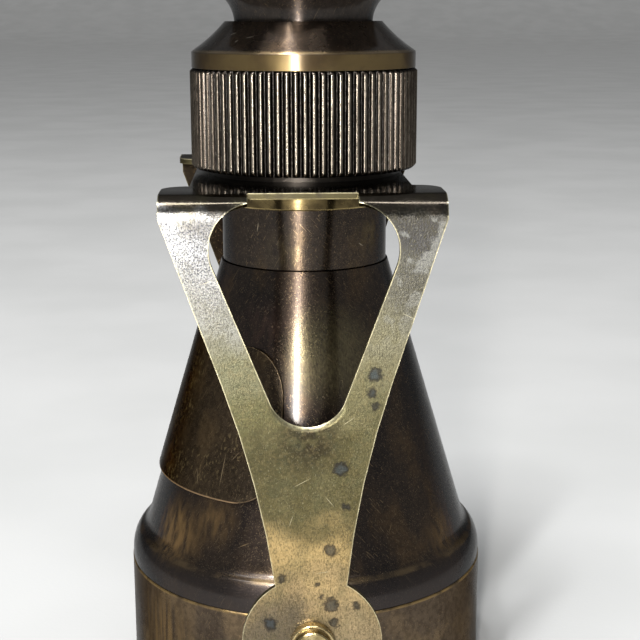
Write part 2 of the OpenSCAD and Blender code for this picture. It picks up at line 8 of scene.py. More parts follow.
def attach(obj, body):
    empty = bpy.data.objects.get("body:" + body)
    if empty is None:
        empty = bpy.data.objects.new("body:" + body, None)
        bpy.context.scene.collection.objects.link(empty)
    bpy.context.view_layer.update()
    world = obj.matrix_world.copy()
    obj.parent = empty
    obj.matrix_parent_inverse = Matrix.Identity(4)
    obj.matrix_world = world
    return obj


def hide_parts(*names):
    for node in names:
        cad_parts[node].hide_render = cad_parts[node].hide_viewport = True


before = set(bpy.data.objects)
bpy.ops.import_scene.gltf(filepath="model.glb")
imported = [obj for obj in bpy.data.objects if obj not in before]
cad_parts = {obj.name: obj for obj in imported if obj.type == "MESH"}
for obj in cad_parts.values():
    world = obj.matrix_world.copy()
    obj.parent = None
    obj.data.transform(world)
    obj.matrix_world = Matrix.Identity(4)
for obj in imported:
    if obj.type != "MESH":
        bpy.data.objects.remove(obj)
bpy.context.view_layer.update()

# ---------------------------------------------------------------- bell
# The bell is a turned brass tube with a brown patina. It holds the objective, screws onto
# the cone's skirt, and its lower rim is what the spyglass stands on. Its upper edge stands
# a hair proud of the cone's shoulder and is rubbed to bare brass.
BELL_R, BELL_TOP, MOUTH_R, MOUTH_DEPTH, BELL_BORE = 25.0, 17.99, 23.7, 4.4, 23.4
FOOT_CUT, TOP_CUT = 0.3, 0.15


def everything(bm):
    return bm.verts[:] + bm.edges[:] + bm.faces[:]


def draw(bm, last, moves):
    """Draws on from a vertex in the plane y = 0, in mm, by straight and round cuts.

    A move of two numbers is a straight cut to that x and z. A move of three is a round cut
    about a centre, by degrees anticlockwise with x drawn to the right and z up.
    """
    for move in moves:
        if len(move) == 2:
            last = bmesh.ops.extrude_vert_indiv(bm, verts=[last])["verts"][0]
            last.co = (move[0], 0, move[1])
        else:
            swung = bmesh.ops.spin(
                bm, geom=[last], cent=(move[0], 0, move[1]), axis=(0, 1, 0),
                angle=-math.radians(move[2]), steps=max(4, round(abs(move[2]) / 5)))
            last = [v for v in swung["geom_last"] if isinstance(v, bmesh.types.BMVert)][0]
    return last


def turned(name, start, moves, edge, steps=240):
    """A turned piece: a closed outline of radius and height in mm, spun round the axis."""
    bm = bmesh.new()
    first = bm.verts.new((start[0], 0, start[1]))
    bm.edges.new((draw(bm, first, moves), first))
    bmesh.ops.spin(bm, geom=everything(bm), cent=(0, 0, 0), axis=(0, 0, 1), angle=math.tau,
                   steps=steps, use_merge=True)
    bmesh.ops.remove_doubles(bm, verts=bm.verts, dist=0.002)
    bmesh.ops.recalc_face_normals(bm, faces=bm.faces)
    return finished(name, bm, edge)


def finished(name, bm, edge, wall=0.0):
    """A smooth piece in metres from a bmesh in mm, with a sheet's wall and broken edges."""
    bmesh.ops.scale(bm, vec=(0.001, 0.001, 0.001), verts=bm.verts)
    mesh = bpy.data.meshes.new(name)
    bm.to_mesh(mesh)
    bm.free()
    mesh.shade_smooth()
    piece = bpy.data.objects.new(name, mesh)
    bpy.context.collection.objects.link(piece)
    if wall:
        thick = piece.modifiers.new("wall", "SOLIDIFY")
        thick.thickness = wall / 1000
        thick.offset = -1
        thick.use_even_offset = True
    if edge:
        bevel = piece.modifiers.new("edge", "BEVEL")
        bevel.width = edge / 1000
        bevel.segments = 2
        bevel.limit_method = "ANGLE"
        bevel.angle_limit = math.radians(32)
        bevel.harden_normals = True
    return piece


def add(tree, kind, inputs=None, **settings):
    """Adds a shader node; an input is a number, a colour or another node's socket."""
    made = tree.nodes.new("ShaderNode" + kind)
    for key, value in settings.items():
        setattr(made, key, value)
    for key, value in (inputs or {}).items():
        if isinstance(value, bpy.types.NodeSocket):
            tree.links.new(value, made.inputs[key])
        else:
            made.inputs[key].default_value = value
    return made


def place(tree):
    """The place on the piece in metres, which all patterns of a finish share."""
    known = tree.nodes.get("place") or add(tree, "TexCoord", name="place")
    return known.outputs["Object"]


def coordinate(tree, axis):
    known = tree.nodes.get("apart") or add(tree, "SeparateXYZ", {0: place(tree)}, name="apart")
    return known.outputs[axis]


def distance(tree, centre):
    """How far a place is from a centre in mm, in metres."""
    return add(tree, "VectorMath", {0: place(tree), 1: [c / 1000 for c in centre]},
               operation="DISTANCE").outputs["Value"]


def cloud(tree, size, stretch=(1, 1, 1), turn=(0, 0, 0), detail=3.0, start=0.0):
    """Noise whose lumps are size mm across, drawn out along an axis by its stretch."""
    laid = add(tree, "Mapping", {
        "Vector": place(tree), "Rotation": turn, "Location": (start / 40, start / 50, start / 60),
        "Scale": [size * s / 1000 for s in stretch]}, vector_type="TEXTURE")
    return add(tree, "TexNoise", {
        "Vector": laid.outputs[0], "Scale": 1.0, "Detail": detail}).outputs["Fac"]


def between(tree, value, low, high, start=0.0, end=1.0):
    """Turns value from low to high into start to end, and holds it there."""
    return add(tree, "MapRange", {
        "Value": value, "From Min": low, "From Max": high, "To Min": start, "To Max": end},
        interpolation_type="SMOOTHSTEP").outputs["Result"]


def by_height(tree, low, high, start=0.0, end=1.0):
    """Runs from start to end between two heights in mm."""
    return between(tree, coordinate(tree, "Z"), low / 1000, high / 1000, start, end)


def tint(tree, share, under, over):
    """One colour over another, by a share from 0 to 1."""
    made = add(tree, "Mix", data_type="RGBA")
    for socket, value in ((0, share), (6, under), (7, over)):
        if isinstance(value, bpy.types.NodeSocket):
            tree.links.new(value, made.inputs[socket])
        elif socket == 0:
            made.inputs[0].default_value = value
        else:
            made.inputs[socket].default_value = (*value, 1)
    return made.outputs[2]


def times(tree, a, b):
    return add(tree, "Math", {0: a, 1: b}, operation="MULTIPLY").outputs[0]


def plus(tree, a, b):
    return add(tree, "Math", {0: a, 1: b}, operation="ADD").outputs[0]


def spot(tree, centre, radius, soft):
    """A soft-edged ball in mm: 1 inside, 0 outside."""
    return between(tree, distance(tree, centre), (radius + soft) / 1000, (radius - soft) / 1000)


def scratch(tree, middle, length, lean, way=-90.0, width=0.08):
    """A hairline in mm on the side that faces way degrees, leaning from upright by degrees."""
    laid = add(tree, "Mapping", {
        "Vector": place(tree), "Location": [c / 1000 for c in middle],
        "Rotation": (0, math.radians(lean), math.radians(way + 90)),
        "Scale": (width / 1000, 0.002, length / 2000)}, vector_type="TEXTURE")
    away = add(tree, "VectorMath", {0: laid.outputs[0]}, operation="LENGTH").outputs["Value"]
    return between(tree, away, 1.0, 0.4)


def finish(name, colour, roughness, bump, depth, metallic=1.0, coat=0.0, turning=0.0, slant=1.0):
    """A finish from a colour, a roughness and a height pattern, the last depth mm deep.

    Turning is how far the lathe's fine grooves, which run round the axis, draw a highlight
    out along the axis. Coat is the share of clear lacquer. Slant is how bright the metal
    stays where it is seen at a slant, which a patina dulls.
    """
    material = bpy.data.materials.new(name)
    material.use_nodes = True
    tree = material.node_tree
    skin = tree.nodes["Principled BSDF"]
    skin.inputs["Metallic"].default_value = metallic
    skin.inputs["Coat Weight"].default_value = coat
    skin.inputs["Specular Tint"].default_value = (slant, slant, slant, 1)
    skin.inputs["Coat Roughness"].default_value = 0.16
    if turning:
        skin.inputs["Anisotropic"].default_value = turning
        skin.inputs["Anisotropic Rotation"].default_value = 0.25
        round_axis = add(tree, "VectorMath", {0: (0, 0, 1), 1: place(tree)},
                         operation="CROSS_PRODUCT").outputs[0]
        groove = add(tree, "VectorTransform", {0: round_axis}, vector_type="VECTOR",
                     convert_from="OBJECT", convert_to="WORLD").outputs[0]
        tree.links.new(groove, skin.inputs["Tangent"])
    tree.links.new(colour(tree), skin.inputs["Base Color"])
    tree.links.new(roughness(tree), skin.inputs["Roughness"])
    raised = add(tree, "Bump", {"Height": bump(tree), "Distance": depth / 1000, "Strength": 1.0})
    tree.links.new(raised.outputs["Normal"], skin.inputs["Normal"])
    return material


def brown_metal(tree, dark, mid, warm, speck_share=0.25):
    """Brown patina: broad clouds, upright streaks and pin-prick specks."""
    broad = between(tree, cloud(tree, 9, (1, 1, 2.0)), 0.36, 0.64)
    colour = tint(tree, broad, dark, mid)
    streak = between(tree, cloud(tree, 0.5, (1, 1, 24), detail=2), 0.35, 0.7)
    colour = tint(tree, times(tree, streak, 0.45), colour, mid)
    warmth = between(tree, cloud(tree, 5, (1, 1, 1.6), start=9), 0.50, 0.70)
    colour = tint(tree, times(tree, warmth, 0.6), colour, warm)
    mottle = between(tree, cloud(tree, 0.7, detail=3, start=6), 0.42, 0.62, 0.0, 0.35)
    colour = tint(tree, mottle, colour, [c * 0.45 for c in dark])
    for turn in ((0.2, 0.5, 0), (-0.3, -0.7, 0.4)):
        hair = between(tree, cloud(tree, 0.22, (0.5, 0.5, 16), turn, detail=0), 0.745, 0.80)
        colour = tint(tree, times(tree, hair, 0.5), colour, (0.24, 0.165, 0.090))
    speck = between(tree, cloud(tree, 0.16, detail=1, start=3), 0.62, 0.72)
    return tint(tree, times(tree, speck, speck_share), colour, (0.26, 0.20, 0.12))


def fine_wear(tree):
    """Brushing, pits and a few long scratches, as a height."""
    grain = times(tree, cloud(tree, 0.15, detail=2), 0.5)
    brushed = times(tree, cloud(tree, 0.12, (1, 1, 26), detail=1), 0.45)
    nick = between(tree, cloud(tree, 0.3, (0.5, 0.5, 18), (0.25, 0.3, 0), detail=0), 0.71, 0.76,
                   0.0, -0.5)
    return plus(tree, plus(tree, grain, brushed), nick)


def brown_gloss(tree):
    patch = between(tree, cloud(tree, 6, (1, 1, 2), start=5), 0.3, 0.7, 0.25, 0.37)
    return plus(tree, patch, between(tree, cloud(tree, 0.2, detail=1), 0.3, 0.7, -0.02, 0.05))


def bell_colour(tree):
    colour = brown_metal(tree, (0.062, 0.046, 0.034), (0.115, 0.086, 0.060), (0.185, 0.130, 0.075))
    worn = times(tree, spot(tree, (-19.5, -15.6, 11), 5, 3.5),
                 between(tree, cloud(tree, 0.6, (1, 1, 12)), 0.3, 0.7))
    colour = tint(tree, times(tree, worn, 0.6), colour, (0.24, 0.155, 0.07))
    edge = times(tree, by_height(tree, 17.55, 17.92), between(tree, cloud(tree, 2.4), 0.28, 0.60))
    colour = tint(tree, times(tree, edge, 0.85), colour, (0.36, 0.24, 0.10))
    return tint(tree, by_height(tree, 0.6, 0.2, 0.0, 0.7), colour, (0.34, 0.22, 0.085))


bell = turned("bell_tube", (MOUTH_R, 0), [
    (BELL_R - FOOT_CUT, 0), (BELL_R, FOOT_CUT), (BELL_R, BELL_TOP - TOP_CUT),
    (BELL_R - TOP_CUT, BELL_TOP), (BELL_BORE, BELL_TOP), (BELL_BORE, MOUTH_DEPTH),
    (MOUTH_R, MOUTH_DEPTH)], 0.06)
bell.data.materials.append(finish("bell_brown", bell_colour, brown_gloss, fine_wear, 0.010,
                                  turning=0.6, slant=0.4))
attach(bell, "tube")
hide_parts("bell")

# ---------------------------------------------------------------- objective
# The objective sits in the bell's mouth: a blackened cell, a brass ring with two key slots
# that holds the glass in, and a crown and a flint lens cemented together.


def machined(name, colour, rough, nodes, metallic=1.0):
    """A machined finish with a faint mottle and fine tool marks, put on CAD nodes."""
    def shade(tree):
        darker = [c * 0.7 for c in colour]
        return tint(tree, between(tree, cloud(tree, 4), 0.3, 0.7), darker, colour)

    def gloss(tree):
        return between(tree, cloud(tree, 1.2), 0.3, 0.7, rough - 0.05, rough + 0.08)

    def marks(tree):
        return cloud(tree, 0.2, (1, 1, 0.35), detail=2)

    coated(finish(name, shade, gloss, marks, 0.008, metallic), nodes)


def coated(material, nodes):
    for node in nodes:
        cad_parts[node].data.materials.clear()
        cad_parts[node].data.materials.append(material)


def lens_colour(tree):
    return tint(tree, between(tree, cloud(tree, 8), 0.3, 0.7), (0.84, 0.92, 0.97),
                (0.93, 0.96, 0.97))


def lens_gloss(tree):
    return between(tree, cloud(tree, 0.9, detail=4), 0.5, 0.8, 0.01, 0.08)


def lens_dust(tree):
    return between(tree, cloud(tree, 0.3, detail=2), 0.62, 0.70)


machined("cell_black", (0.030, 0.028, 0.026), 0.5, ["objective_cell", "light_stop", "eye_cell"])
machined("inner_brass", (0.66, 0.47, 0.20), 0.3,
         ["objective_ring", "screw_boss_front", "screw_boss_rear", "keeper_ring", "guide_screw",
          "lead_nut", "eye_lens_ring"])
machined("washer_red", (0.21, 0.07, 0.045), 0.85, ["friction_washer"], 0.0)
lens_glass = finish("lens_coated", lens_colour, lens_gloss, lens_dust, 0.0005, 0.0)
lens_skin = lens_glass.node_tree.nodes["Principled BSDF"]
lens_skin.inputs["Transmission Weight"].default_value = 1.0
lens_skin.inputs["IOR"].default_value = 1.52
coated(lens_glass, ["crown_lens", "flint_lens", "eye_lens"])

# ---------------------------------------------------------------- cone
# The body is one brass casting, turned outside: a round shoulder above the bell, a crease,
# and a plain cone up to the neck. Its skirt screws into the bell.
CONE_TOP_R, SEAM_Z, CONE_SLOPE = 11.5, 60.4, 0.29953
CONE_TILT = math.atan(CONE_SLOPE)
SKIRT_R, SKIRT_BORE, SKIRT_FOOT, LEDGE_Z, LEDGE_R, LEDGE_CUT = 23.35, 22.15, 11.4, 18.0, 24.9, 0.1
ROLL_X, ROLL_Z, ROLL_TURN = 20.4, 19.0, 41.81
CREASE_X, CREASE_Z, CREASE_TURN = 24.678, 23.996, -48.49
SOCKET_R, SOCKET_Z, TAPER_TOP_R, TAPER_FOOT = 10.45, 54.4, 12.04, 20.66


def cone_radius(z):
    return CONE_TOP_R + (SEAM_Z - z) * CONE_SLOPE


def cone_colour(tree):
    colour = brown_metal(tree, (0.018, 0.013, 0.011), (0.037, 0.025, 0.017), (0.080, 0.048, 0.022))
    rub = between(tree, cloud(tree, 0.8, (1, 1, 7)), 0.25, 0.7)
    for centre, size, soft, share in (((-18.3, -12.8, 25.0), 3.6, 2.6, 0.85),
                                      ((-13.0, -17.4, 28.6), 2.6, 2.2, 0.5),
                                      ((18.2, -12.8, 24.0), 3.0, 2.6, 0.35)):
        patch = times(tree, spot(tree, centre, size, soft), rub)
        colour = tint(tree, times(tree, patch, share), colour, (0.30, 0.180, 0.070))
    # A painted reddish sheen on the cone, left of the upright highlight.
    ruddy_sheen = times(tree, spot(tree, (-6.0, -12.6, 52.5), 3.4, 2.6), rub)
    colour = tint(tree, times(tree, ruddy_sheen, 0.5), colour, (0.075, 0.042, 0.030))
    # Olive specks right of the upright highlight, partly painted glow beside it.
    speckle = between(tree, cloud(tree, 0.22, (1, 1, 3), detail=3, start=4), 0.30, 0.68, 0.35, 0.9)
    olive_speck_and_glow = times(tree, spot(tree, (3.2, -14.4, 50.0), 5.0, 3.4), speckle)
    colour = tint(tree, times(tree, olive_speck_and_glow, 0.75), colour, (0.17, 0.14, 0.070))
    colour = tint(tree, by_height(tree, 22.4, 20.8, 0.0, 0.75), colour, (0.034, 0.027, 0.025))
    crease = times(tree, by_height(tree, 21.6, 21.9), by_height(tree, 22.4, 22.1))
    rubbed = times(tree, crease, between(tree, cloud(tree, 3), 0.35, 0.65))
    colour = tint(tree, times(tree, rubbed, 0.5), colour, (0.20, 0.135, 0.065))
    for middle, length, lean, way in (((-13.4, -18.6, 28.6), 3.4, 52, -126),
                                      ((-14.6, -17.4, 30.0), 2.2, 38, -130),
                                      ((-12.4, -19.5, 26.8), 1.8, 70, -122),
                                      ((-9.0, -21.0, 26.0), 2.5, 64, -113),
                                      ((11.2, -19.6, 27.5), 2.2, 30, -60)):
        line = scratch(tree, middle, length, lean, way)
        colour = tint(tree, times(tree, line, 0.55), colour, (0.42, 0.29, 0.14))
    return colour


cone = turned("cone_body_shell", (SKIRT_BORE, SKIRT_FOOT), [
    (SKIRT_R, SKIRT_FOOT), (SKIRT_R, LEDGE_Z), (LEDGE_R - LEDGE_CUT, LEDGE_Z),
    (LEDGE_R, LEDGE_Z + LEDGE_CUT), (LEDGE_R, ROLL_Z), (ROLL_X, ROLL_Z, ROLL_TURN),
    (CREASE_X, CREASE_Z, CREASE_TURN), (CONE_TOP_R, SEAM_Z), (SOCKET_R, SEAM_Z),
    (SOCKET_R, SOCKET_Z), (TAPER_TOP_R, SOCKET_Z), (SKIRT_BORE, TAPER_FOOT)], 0.05)
cone.data.materials.append(finish("cone_brown", cone_colour, brown_gloss, fine_wear, 0.010,
                                  coat=0.35, turning=0.75, slant=0.3))
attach(cone, "tube")
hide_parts("cone_body")

# ---------------------------------------------------------------- name plate
# A thin brass plate with round corners, bent round the left of the cone and soldered on.
# It is left bare. Its lower edge is rubbed to brighter brass and its face is scratched.
PLATE_LOW, PLATE_HIGH, PLATE_ARC, PLATE_T, PLATE_ROUND, RUB = 31.1, 50.8, 157, 0.64, 6.0, 0.16
PLATE_R = cone_radius((PLATE_LOW + PLATE_HIGH) / 2) + PLATE_T
PLATE_END = math.radians(PLATE_ARC / 2) * PLATE_R


def plate_colour(tree):
    colour = brown_metal(tree, (0.033, 0.025, 0.018), (0.066, 0.047, 0.030), (0.12, 0.080, 0.042))
    fleck = between(tree, cloud(tree, 0.35, (1, 1, 2.2), detail=2, start=7), 0.56, 0.66)
    fleck = times(tree, fleck, between(tree, cloud(tree, 6, start=2), 0.42, 0.62))
    colour = tint(tree, times(tree, fleck, 0.5), colour, (0.30, 0.22, 0.11))
    foot = by_height(tree, PLATE_LOW + 0.26, PLATE_LOW + 0.12)
    colour = tint(tree, times(tree, foot, 0.85), colour, (0.48, 0.31, 0.17))
    for middle, length, lean, way, share in (((-11.3, -16.1, 35.0), 6.0, 3, -126, 0.7),
                                             ((-14.6, -13.6, 33.4), 2.6, -20, -137, 0.4),
                                             ((-9.6, -16.6, 37.0), 2.2, 40, -120, 0.35)):
        line = scratch(tree, middle, length, lean, way)
        colour = tint(tree, times(tree, line, share), colour, (0.46, 0.34, 0.20))
    worn = add(tree, "Attribute", attribute_name="worn").outputs["Fac"]
    return tint(tree, times(tree, worn, 0.5), colour, (0.30, 0.21, 0.12))


def rub_edges(bm):
    """Marks a sheet's outline, and fades the mark out over a narrow band inside it."""
    bmesh.ops.inset_region(bm, faces=bm.faces[:], thickness=RUB, depth=0.0, use_boundary=True,
                           use_even_offset=True)
    worn = bm.verts.layers.float.new("worn")
    for v in bm.verts:
        v[worn] = 1.0 if v.is_boundary else 0.0


bm = bmesh.new()
first = bm.verts.new((PLATE_ROUND - PLATE_END, 0, PLATE_LOW))
draw(bm, first, [
    (PLATE_END - PLATE_ROUND, PLATE_LOW), (PLATE_END - PLATE_ROUND, PLATE_LOW + PLATE_ROUND, 90),
    (PLATE_END, PLATE_HIGH - PLATE_ROUND), (PLATE_END - PLATE_ROUND, PLATE_HIGH - PLATE_ROUND, 90),
    (PLATE_ROUND - PLATE_END, PLATE_HIGH), (PLATE_ROUND - PLATE_END, PLATE_HIGH - PLATE_ROUND, 90),
    (-PLATE_END, PLATE_LOW + PLATE_ROUND), (PLATE_ROUND - PLATE_END, PLATE_LOW + PLATE_ROUND, 90)])
bmesh.ops.remove_doubles(bm, verts=bm.verts, dist=0.001)
bmesh.ops.contextual_create(bm, geom=bm.edges[:])
for cut in range(-24, 25):
    bmesh.ops.bisect_plane(bm, geom=everything(bm), plane_co=(cut, 0, 0), plane_no=(1, 0, 0))
for v in bm.verts:
    around = math.pi + v.co.x / PLATE_R
    out = cone_radius(v.co.z) + PLATE_T / math.cos(CONE_TILT)
    v.co = (out * math.cos(around), out * math.sin(around), v.co.z)
bm.normal_update()
if sum(f.normal.x for f in bm.faces) > 0:
    bmesh.ops.reverse_faces(bm, faces=bm.faces)
rub_edges(bm)
plate = finished("bare_plate", bm, 0.12, PLATE_T)
plate.data.materials.append(finish("plate_brown", plate_colour, brown_gloss, fine_wear, 0.014,
                                   turning=0.4, slant=0.3))
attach(plate, "tube")
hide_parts("name_plate")

# ---------------------------------------------------------------- neck
# The neck is a brown turned tube pressed into the cone. Its upper end is stepped down for
# the yoke, the clamp nut and the focusing ring, and stays bright where the ring rubs it.
NECK_R, BEARING_R, NECK_STEP, NECK_TOP, NECK_CUT = 11.25, 10.9, 68.4, 81.85, 0.1
NECK_BORE, SPIGOT_R, SPIGOT_BORE, SPIGOT_TOP, SEAT_GAP = 9.9, 10.4, 9.4, 63.95, 0.01


def neck_colour(tree):
    colour = brown_metal(tree, (0.020, 0.015, 0.012), (0.040, 0.027, 0.018), (0.075, 0.049, 0.024))
    # Gold patches on the neck, partly bare brass and partly painted sheen beside the upright
    # highlight.
    for centre, size, start, share, over in (
            ((-2.9, -10.8, 63.2), 2.2, 0, 0.35, (0.11, 0.083, 0.042)),
            ((8.7, -7.2, 65.0), 2.0, 3, 0.50, (0.12, 0.085, 0.036))):
        gold_patch_and_sheen = times(tree, spot(tree, centre, size, 1.8),
                     between(tree, cloud(tree, 0.9, (1, 1, 1.5), start=start), 0.3, 0.65))
        colour = tint(tree, times(tree, gold_patch_and_sheen, share), colour, over)
    for middle, length, lean in (((-6.4, -9.2, 66.0), 1.6, 8), ((7.2, -8.6, 63.5), 1.0, -50)):
        line = scratch(tree, middle, length, lean)
        colour = tint(tree, times(tree, line, 0.5), colour, (0.5, 0.42, 0.30))
    return tint(tree, by_height(tree, 68.3, 68.6), colour, (0.55, 0.40, 0.18))


neck = turned("neck_pipe", (SPIGOT_BORE, SOCKET_Z), [
    (SPIGOT_R, SOCKET_Z), (SPIGOT_R, SEAM_Z + SEAT_GAP), (NECK_R - NECK_CUT, SEAM_Z + SEAT_GAP),
    (NECK_R, SEAM_Z + SEAT_GAP + NECK_CUT), (NECK_R, NECK_STEP), (BEARING_R, NECK_STEP),
    (BEARING_R, NECK_TOP), (NECK_BORE, NECK_TOP), (NECK_BORE, SPIGOT_TOP),
    (SPIGOT_BORE, SPIGOT_TOP)], 0.05)
neck.data.materials.append(finish("neck_brown", neck_colour, brown_gloss, fine_wear, 0.010,
                                  coat=0.3, turning=0.9, slant=0.3))
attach(neck, "tube")
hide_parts("neck_tube")

# ---------------------------------------------------------------- seat ring
# A brass ring on the neck's step. The yoke's strip lies on it, so only its side shows,
# stained brown below and rubbed bright at its lower edge.
SEAT_R, SEAT_BORE, SEAT_LOW, SEAT_TOP, SEAT_CUT = 11.65, 10.95, 68.41, 71.49, 0.15


def seat_colour(tree):
    mottle = between(tree, cloud(tree, 2.0, (1, 1, 0.8)), 0.35, 0.7)
    colour = tint(tree, mottle, (0.075, 0.055, 0.026), (0.15, 0.112, 0.050))
    stain = between(tree, cloud(tree, 0.4, detail=2, start=4), 0.52, 0.70)
    colour = tint(tree, times(tree, stain, 0.4), colour, (0.05, 0.036, 0.02))
    rim = by_height(tree, 68.66, 68.5, 0.0, 0.7)
    return tint(tree, rim, colour, (0.55, 0.42, 0.18))


def lathe_marks(tree):
    rings = times(tree, cloud(tree, 0.10, (40, 40, 1), detail=1), 0.6)
    return plus(tree, rings, times(tree, cloud(tree, 0.18), 0.3))


def polished(tree):
    return between(tree, cloud(tree, 0.8), 0.3, 0.7, 0.16, 0.28)


seat = turned("seat_collar", (SEAT_BORE, SEAT_LOW), [
    (SEAT_R - SEAT_CUT, SEAT_LOW), (SEAT_R, SEAT_LOW + SEAT_CUT), (SEAT_R, SEAT_TOP),
    (SEAT_BORE, SEAT_TOP)], 0.05)
seat.data.materials.append(finish("seat_brass", seat_colour, polished, lathe_marks, 0.006,
                                  turning=0.7))
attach(seat, "tube")
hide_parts("seat_ring")

# ---------------------------------------------------------------- yoke
# One 0.8 mm brass sheet, sawn out, bent over the neck and screwed to the bell: dark on top, partly
# as painted dark reflection, silvery high on the legs, partly as painted sky reflection, greenish
# lower down and tan at the round ends, with grey-blue spots. The left leg is painted brighter than
# the right, as painted light from the left. Its edges are rubbed bright, and the window's lower
# edge is rounded over, with a painted highlight along it and painted shade below it. The inside
# faces and the rear ears are painted dark as painted shade.
SHEET_T, BEND_R, LEG_Y, YOKE_TOP = 0.8, 2.5, 25.81, 72.3
SCREW_Z, END_R, SET_OVER = 15.0, 8.95, 0.86
HOLE_R, STRIP_X, EAR_X, EAR_Y, EAR_ROUND = 11.05, 13.95, 17.3, 16.01, 3.0
EAR_FOOT_Z, KNEE_X, KNEE_Z, FLANK_R = 69.4, 10.5, 49.3, 128.0
WINDOW_R, WINDOW_Z, LOBE_R, LOBE_X, LOBE_Z, SLOT_X, SLOT_Y = (
    4.9, 48.5, 5.75, 5.7, 65.7, 6.65, 23.11)
BEND_CUTS, LEG_CUTS = 10, [20.0, 35.0, 45.0, 55.0, 65.0]
BEND_Y, BEND_Z = LEG_Y - BEND_R, YOKE_TOP - BEND_R
BEND_WAY = BEND_R * math.pi / 2
LIP_BANDS, LIP_WIDE, LIP_DEPTH = (0.14, 0.15, 0.16, 0.06), 0.61, 0.35
LIP_LOW, LIP_HIGH = 44.8, 46.7
INNER_FROM, INNER_FULL = 0.60, 0.76
FLAT = BEND_Z + BEND_Y + BEND_WAY


def banded(tree, value, levels):
    """A colour that runs through levels of (height in mm, colour) from the lowest up."""
    colour = tint(tree, 0.0, levels[0][1], levels[0][1])
    for (low, _), (high, over) in zip(levels, levels[1:]):
        colour = tint(tree, between(tree, value, low / 1000, high / 1000), colour, over)
    return colour


def depth_in_sheet(tree):
    """How deep under the sheet's outer face a place is, in metres."""
    past = {}
    for number, (axis, bend) in enumerate((("Y", BEND_Y), ("Z", BEND_Z))):
        out = add(tree, "Math", {0: coordinate(tree, axis)}, operation="ABSOLUTE").outputs[0]
        past[number] = add(tree, "Math", {0: plus(tree, out, -bend / 1000), 1: 0.0},
                           operation="MAXIMUM").outputs[0]
    both = add(tree, "CombineXYZ", past).outputs[0]
    reach = add(tree, "VectorMath", {0: both}, operation="LENGTH").outputs["Value"]
    return add(tree, "Math", {0: BEND_R / 1000, 1: reach}, operation="SUBTRACT").outputs[0]


def window_lip(tree):
    """The front window's rounded lower edge: 1 at the edge, 0 inside."""
    away = distance(tree, (-0.5, -LEG_Y, WINDOW_Z))
    lip = between(tree, away, (WINDOW_R + 0.55) / 1000, WINDOW_R / 1000)
    return times(tree, lip, by_height(tree, LIP_HIGH, LIP_LOW))


